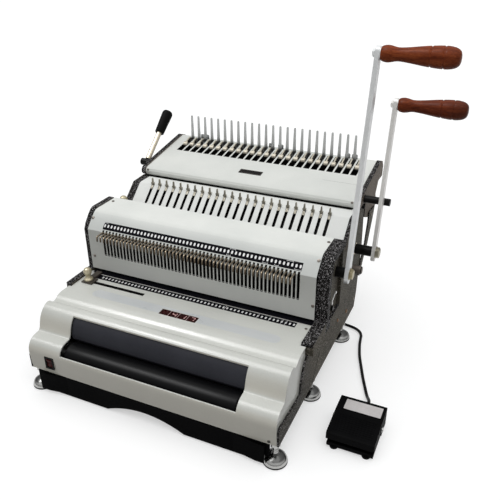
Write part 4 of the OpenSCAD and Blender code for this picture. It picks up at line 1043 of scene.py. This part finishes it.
# ---------------------------------------------------------------- feet: rubber rings and screw threads
g, h = Mesh(), Mesh()
for x_ in (-197, 197):
    for y_ in (0, 143.6, 306):
        g.lathe([(15.2, 0.0), (16.6, 0.0), (17.25, 0.7), (17.25, 2.4), (16.9, 3.0), (15.2, 3.0), (15.2, 0.0)], 48, place((x_, y_, 0), (0, 0, 1)))
        turn = [(x_ + 4.02 * math.cos(math.radians(a)), y_ + 4.02 * math.sin(math.radians(a)), 17.8 + 1.5 * a / 360) for a in range(0, 360 * 7 + 1, 24)]
        h.sweep(turn, [0.12] + [0.42] * (len(turn) - 2) + [0.12], 6)
g.make("foot_rubber_rings", RUBBER, "machine", "belt_rubber", 40)
h.make("foot_threads", CHROME, "machine", "foot_chrome", 40)

# ---------------------------------------------------------------- right side: slits in the plate, bright link and pin in the recess
g = Mesh()
for (y0, z0), (y1, z1), w_ in (((320, 96), (308, 64), 1.5), ((286.4, 96.7), (280.5, 84.6), 1.5), ((152.8, 79.3), (122, 42.5), 1.4)):
    d_ = Vector((0, y1 - y0, z1 - z0))
    for sx_ in (-1, 1):
        g.prism(rounded(d_.length, w_, w_ * 0.49, 4), place((206.0 * sx_, (y0 + y1) / 2, (z0 + z1) / 2), (sx_, 0, 0), d_), 0.12)
g.make("side_slits", SLIT, "machine", "dark_sheet", 30)
g = Mesh()
field = [(168.4, 124.4), (220.6, 124.4), (220.6, 218.6), (188.1, 218.6), (177.2, 211.6), (168.4, 198.9)]
hole = arc(207, 189, 8.8, 0, 350, 35)
m_ = along_x(206.4)
for h_ in (0.0, 1.6):
    fill(g, m_, field, [hole], h_)
for loop in (field, hole):
    k_ = len(loop)
    g.add([m_ @ Vector((x, y, z)) for z in (0.0, 1.6) for x, y in loop], [(i, (i + 1) % k_, k_ + (i + 1) % k_, k_ + i) for i in range(k_)])
g.make("punch_end_field", BROWNPL, "machine", "dark_paint", 30)
g = Mesh()
d_ = Vector((0, -17.9, -9.1))
m_ = place((207.9, 199, 147.6), (1, 0, 0), d_)
g.prism(rounded(d_.length + 4, 3.8, 1.85, 6), m_, 1.3)
for e in (-1, 1):
    g.lathe([(0, 0), (2.6, 0), (2.6, 2.0), (2.1, 2.6), (0, 2.7)], 24, m_ @ Matrix.Translation((e * d_.length * 0.5, 0, 0)))
g.make("recess_link", STEEL, "machine", "steel", 30, 0.2)
g = Mesh()
hexhead(g, place((207.95, 192.5, 133), (1, 0, 0), (0, 0, 1)), 4.4, 2.6, 5.2, 0.8)
g.make("recess_pin", BLACKOX, "machine", "black_steel", 30, 0.2)
g = Mesh()
screw(g, place((206, 245.2, 77.2), (1, 0, 0), (0, 1, 0)), 3.0, 1.7, 15)
screw(g, place((206, 298.5, 62.4), (1, 0, 0), (0, 1, 0)), 3.6, 1.9, 40)
g.make("brass_screws", BRASS, "machine", "steel", 30)
g = Mesh()
for sx_ in (-1, 1):
    pts_ = [(140.0, -11.08), (174.0, -15.8), (187.2, -15.8), (187.2, -14.6), (175.2, -14.6), (143.0, -9.8)]
    pts_ = [(sx_ * x, y) for x, y in pts_]
    g.prism(pts_ if sx_ > 0 else pts_[::-1], place((0, 0, 5.4), (0, 0, 1)), 31.2)
g.make("skirt_corners", SHEET, "machine", "dark_sheet", 30, 0.2)
g = Mesh()
pts_ = [(-68.6 + 131.2 * i / 48, 2.5 + 15.9 * (1 - ((i - 24) / 24) ** 2)) for i in range(49)] + [(62.6, 18.9), (-68.6, 18.9)]
g.prism(pts_, place((0, -9.0, 0), (0, -1, 0)), 2.07)
g.make("skirt_arch", SHEET, "machine", "dark_sheet", 30)

# ---------------------------------------------------------------- floor and light
fm, ft, fb = tree("floor")
v = coords(ft)
ft.links.new(ramp(ft, noise(ft, v, 3.0, 2.0), [(0.3, (0.60, 0.60, 0.60)), (0.7, (0.615, 0.615, 0.615))]), fb.inputs["Base Color"])
fb.inputs["Roughness"].default_value = 0.9
fb.inputs["Specular IOR Level"].default_value = 0.0
fb.inputs["Emission Color"].default_value = (1.0, 1.0, 1.0, 1.0)
fb.inputs["Emission Strength"].default_value = 0.47
me = bpy.data.meshes.new("floor")
me.from_pydata([(-40, -40, 0), (40, -40, 0), (40, 40, 0), (-40, 40, 0)], [], [(0, 1, 2, 3)])
me.materials.append(fm)
floor = link(bpy.data.objects.new("floor", me))
floor.location = (0, 0, -0.0004)
floor.visible_diffuse = False

w = bpy.data.worlds.new("studio")
scene.world = w
w.use_nodes = True
wt = w.node_tree
bg = wt.nodes["Background"]
tc_ = wt.nodes.new("ShaderNodeTexCoord")
sep = wt.nodes.new("ShaderNodeSeparateXYZ")
wt.links.new(tc_.outputs["Generated"], sep.inputs["Vector"])
wr = ramp(wt, remap(wt, sep.outputs["Z"], 0.0, 1.0, -1.0, 1.0), [(0.0, (0.08, 0.077, 0.07)), (0.49, (0.08, 0.077, 0.07)), (0.52, (0.23, 0.23, 0.225)), (1.0, (1.15, 1.16, 1.165))])
wt.links.new(wr, bg.inputs["Color"])
bg.inputs["Strength"].default_value = 1.0


def sun(name, direction, strength, angle):
    d = bpy.data.lights.new(name, "SUN")
    d.energy = strength
    d.angle = math.radians(angle)
    o = link(bpy.data.objects.new(name, d))
    o.rotation_mode = "QUATERNION"
    o.rotation_quaternion = Vector(direction).to_track_quat("-Z", "Y")
    return o


sun("key", (-0.18, 0.10, -1.0), 0.55, 50)
glint = sun("glint", (0.42, 0.26, -0.87), 1.4, 30)
glint.visible_diffuse = False
streak = sun("streak", (0.46, 0.21, -0.86), 0.4, 6)
streak.visible_diffuse = False
scene.view_settings.view_transform = "Standard"
scene.view_settings.look = "None"

bpy.context.view_layer.update()
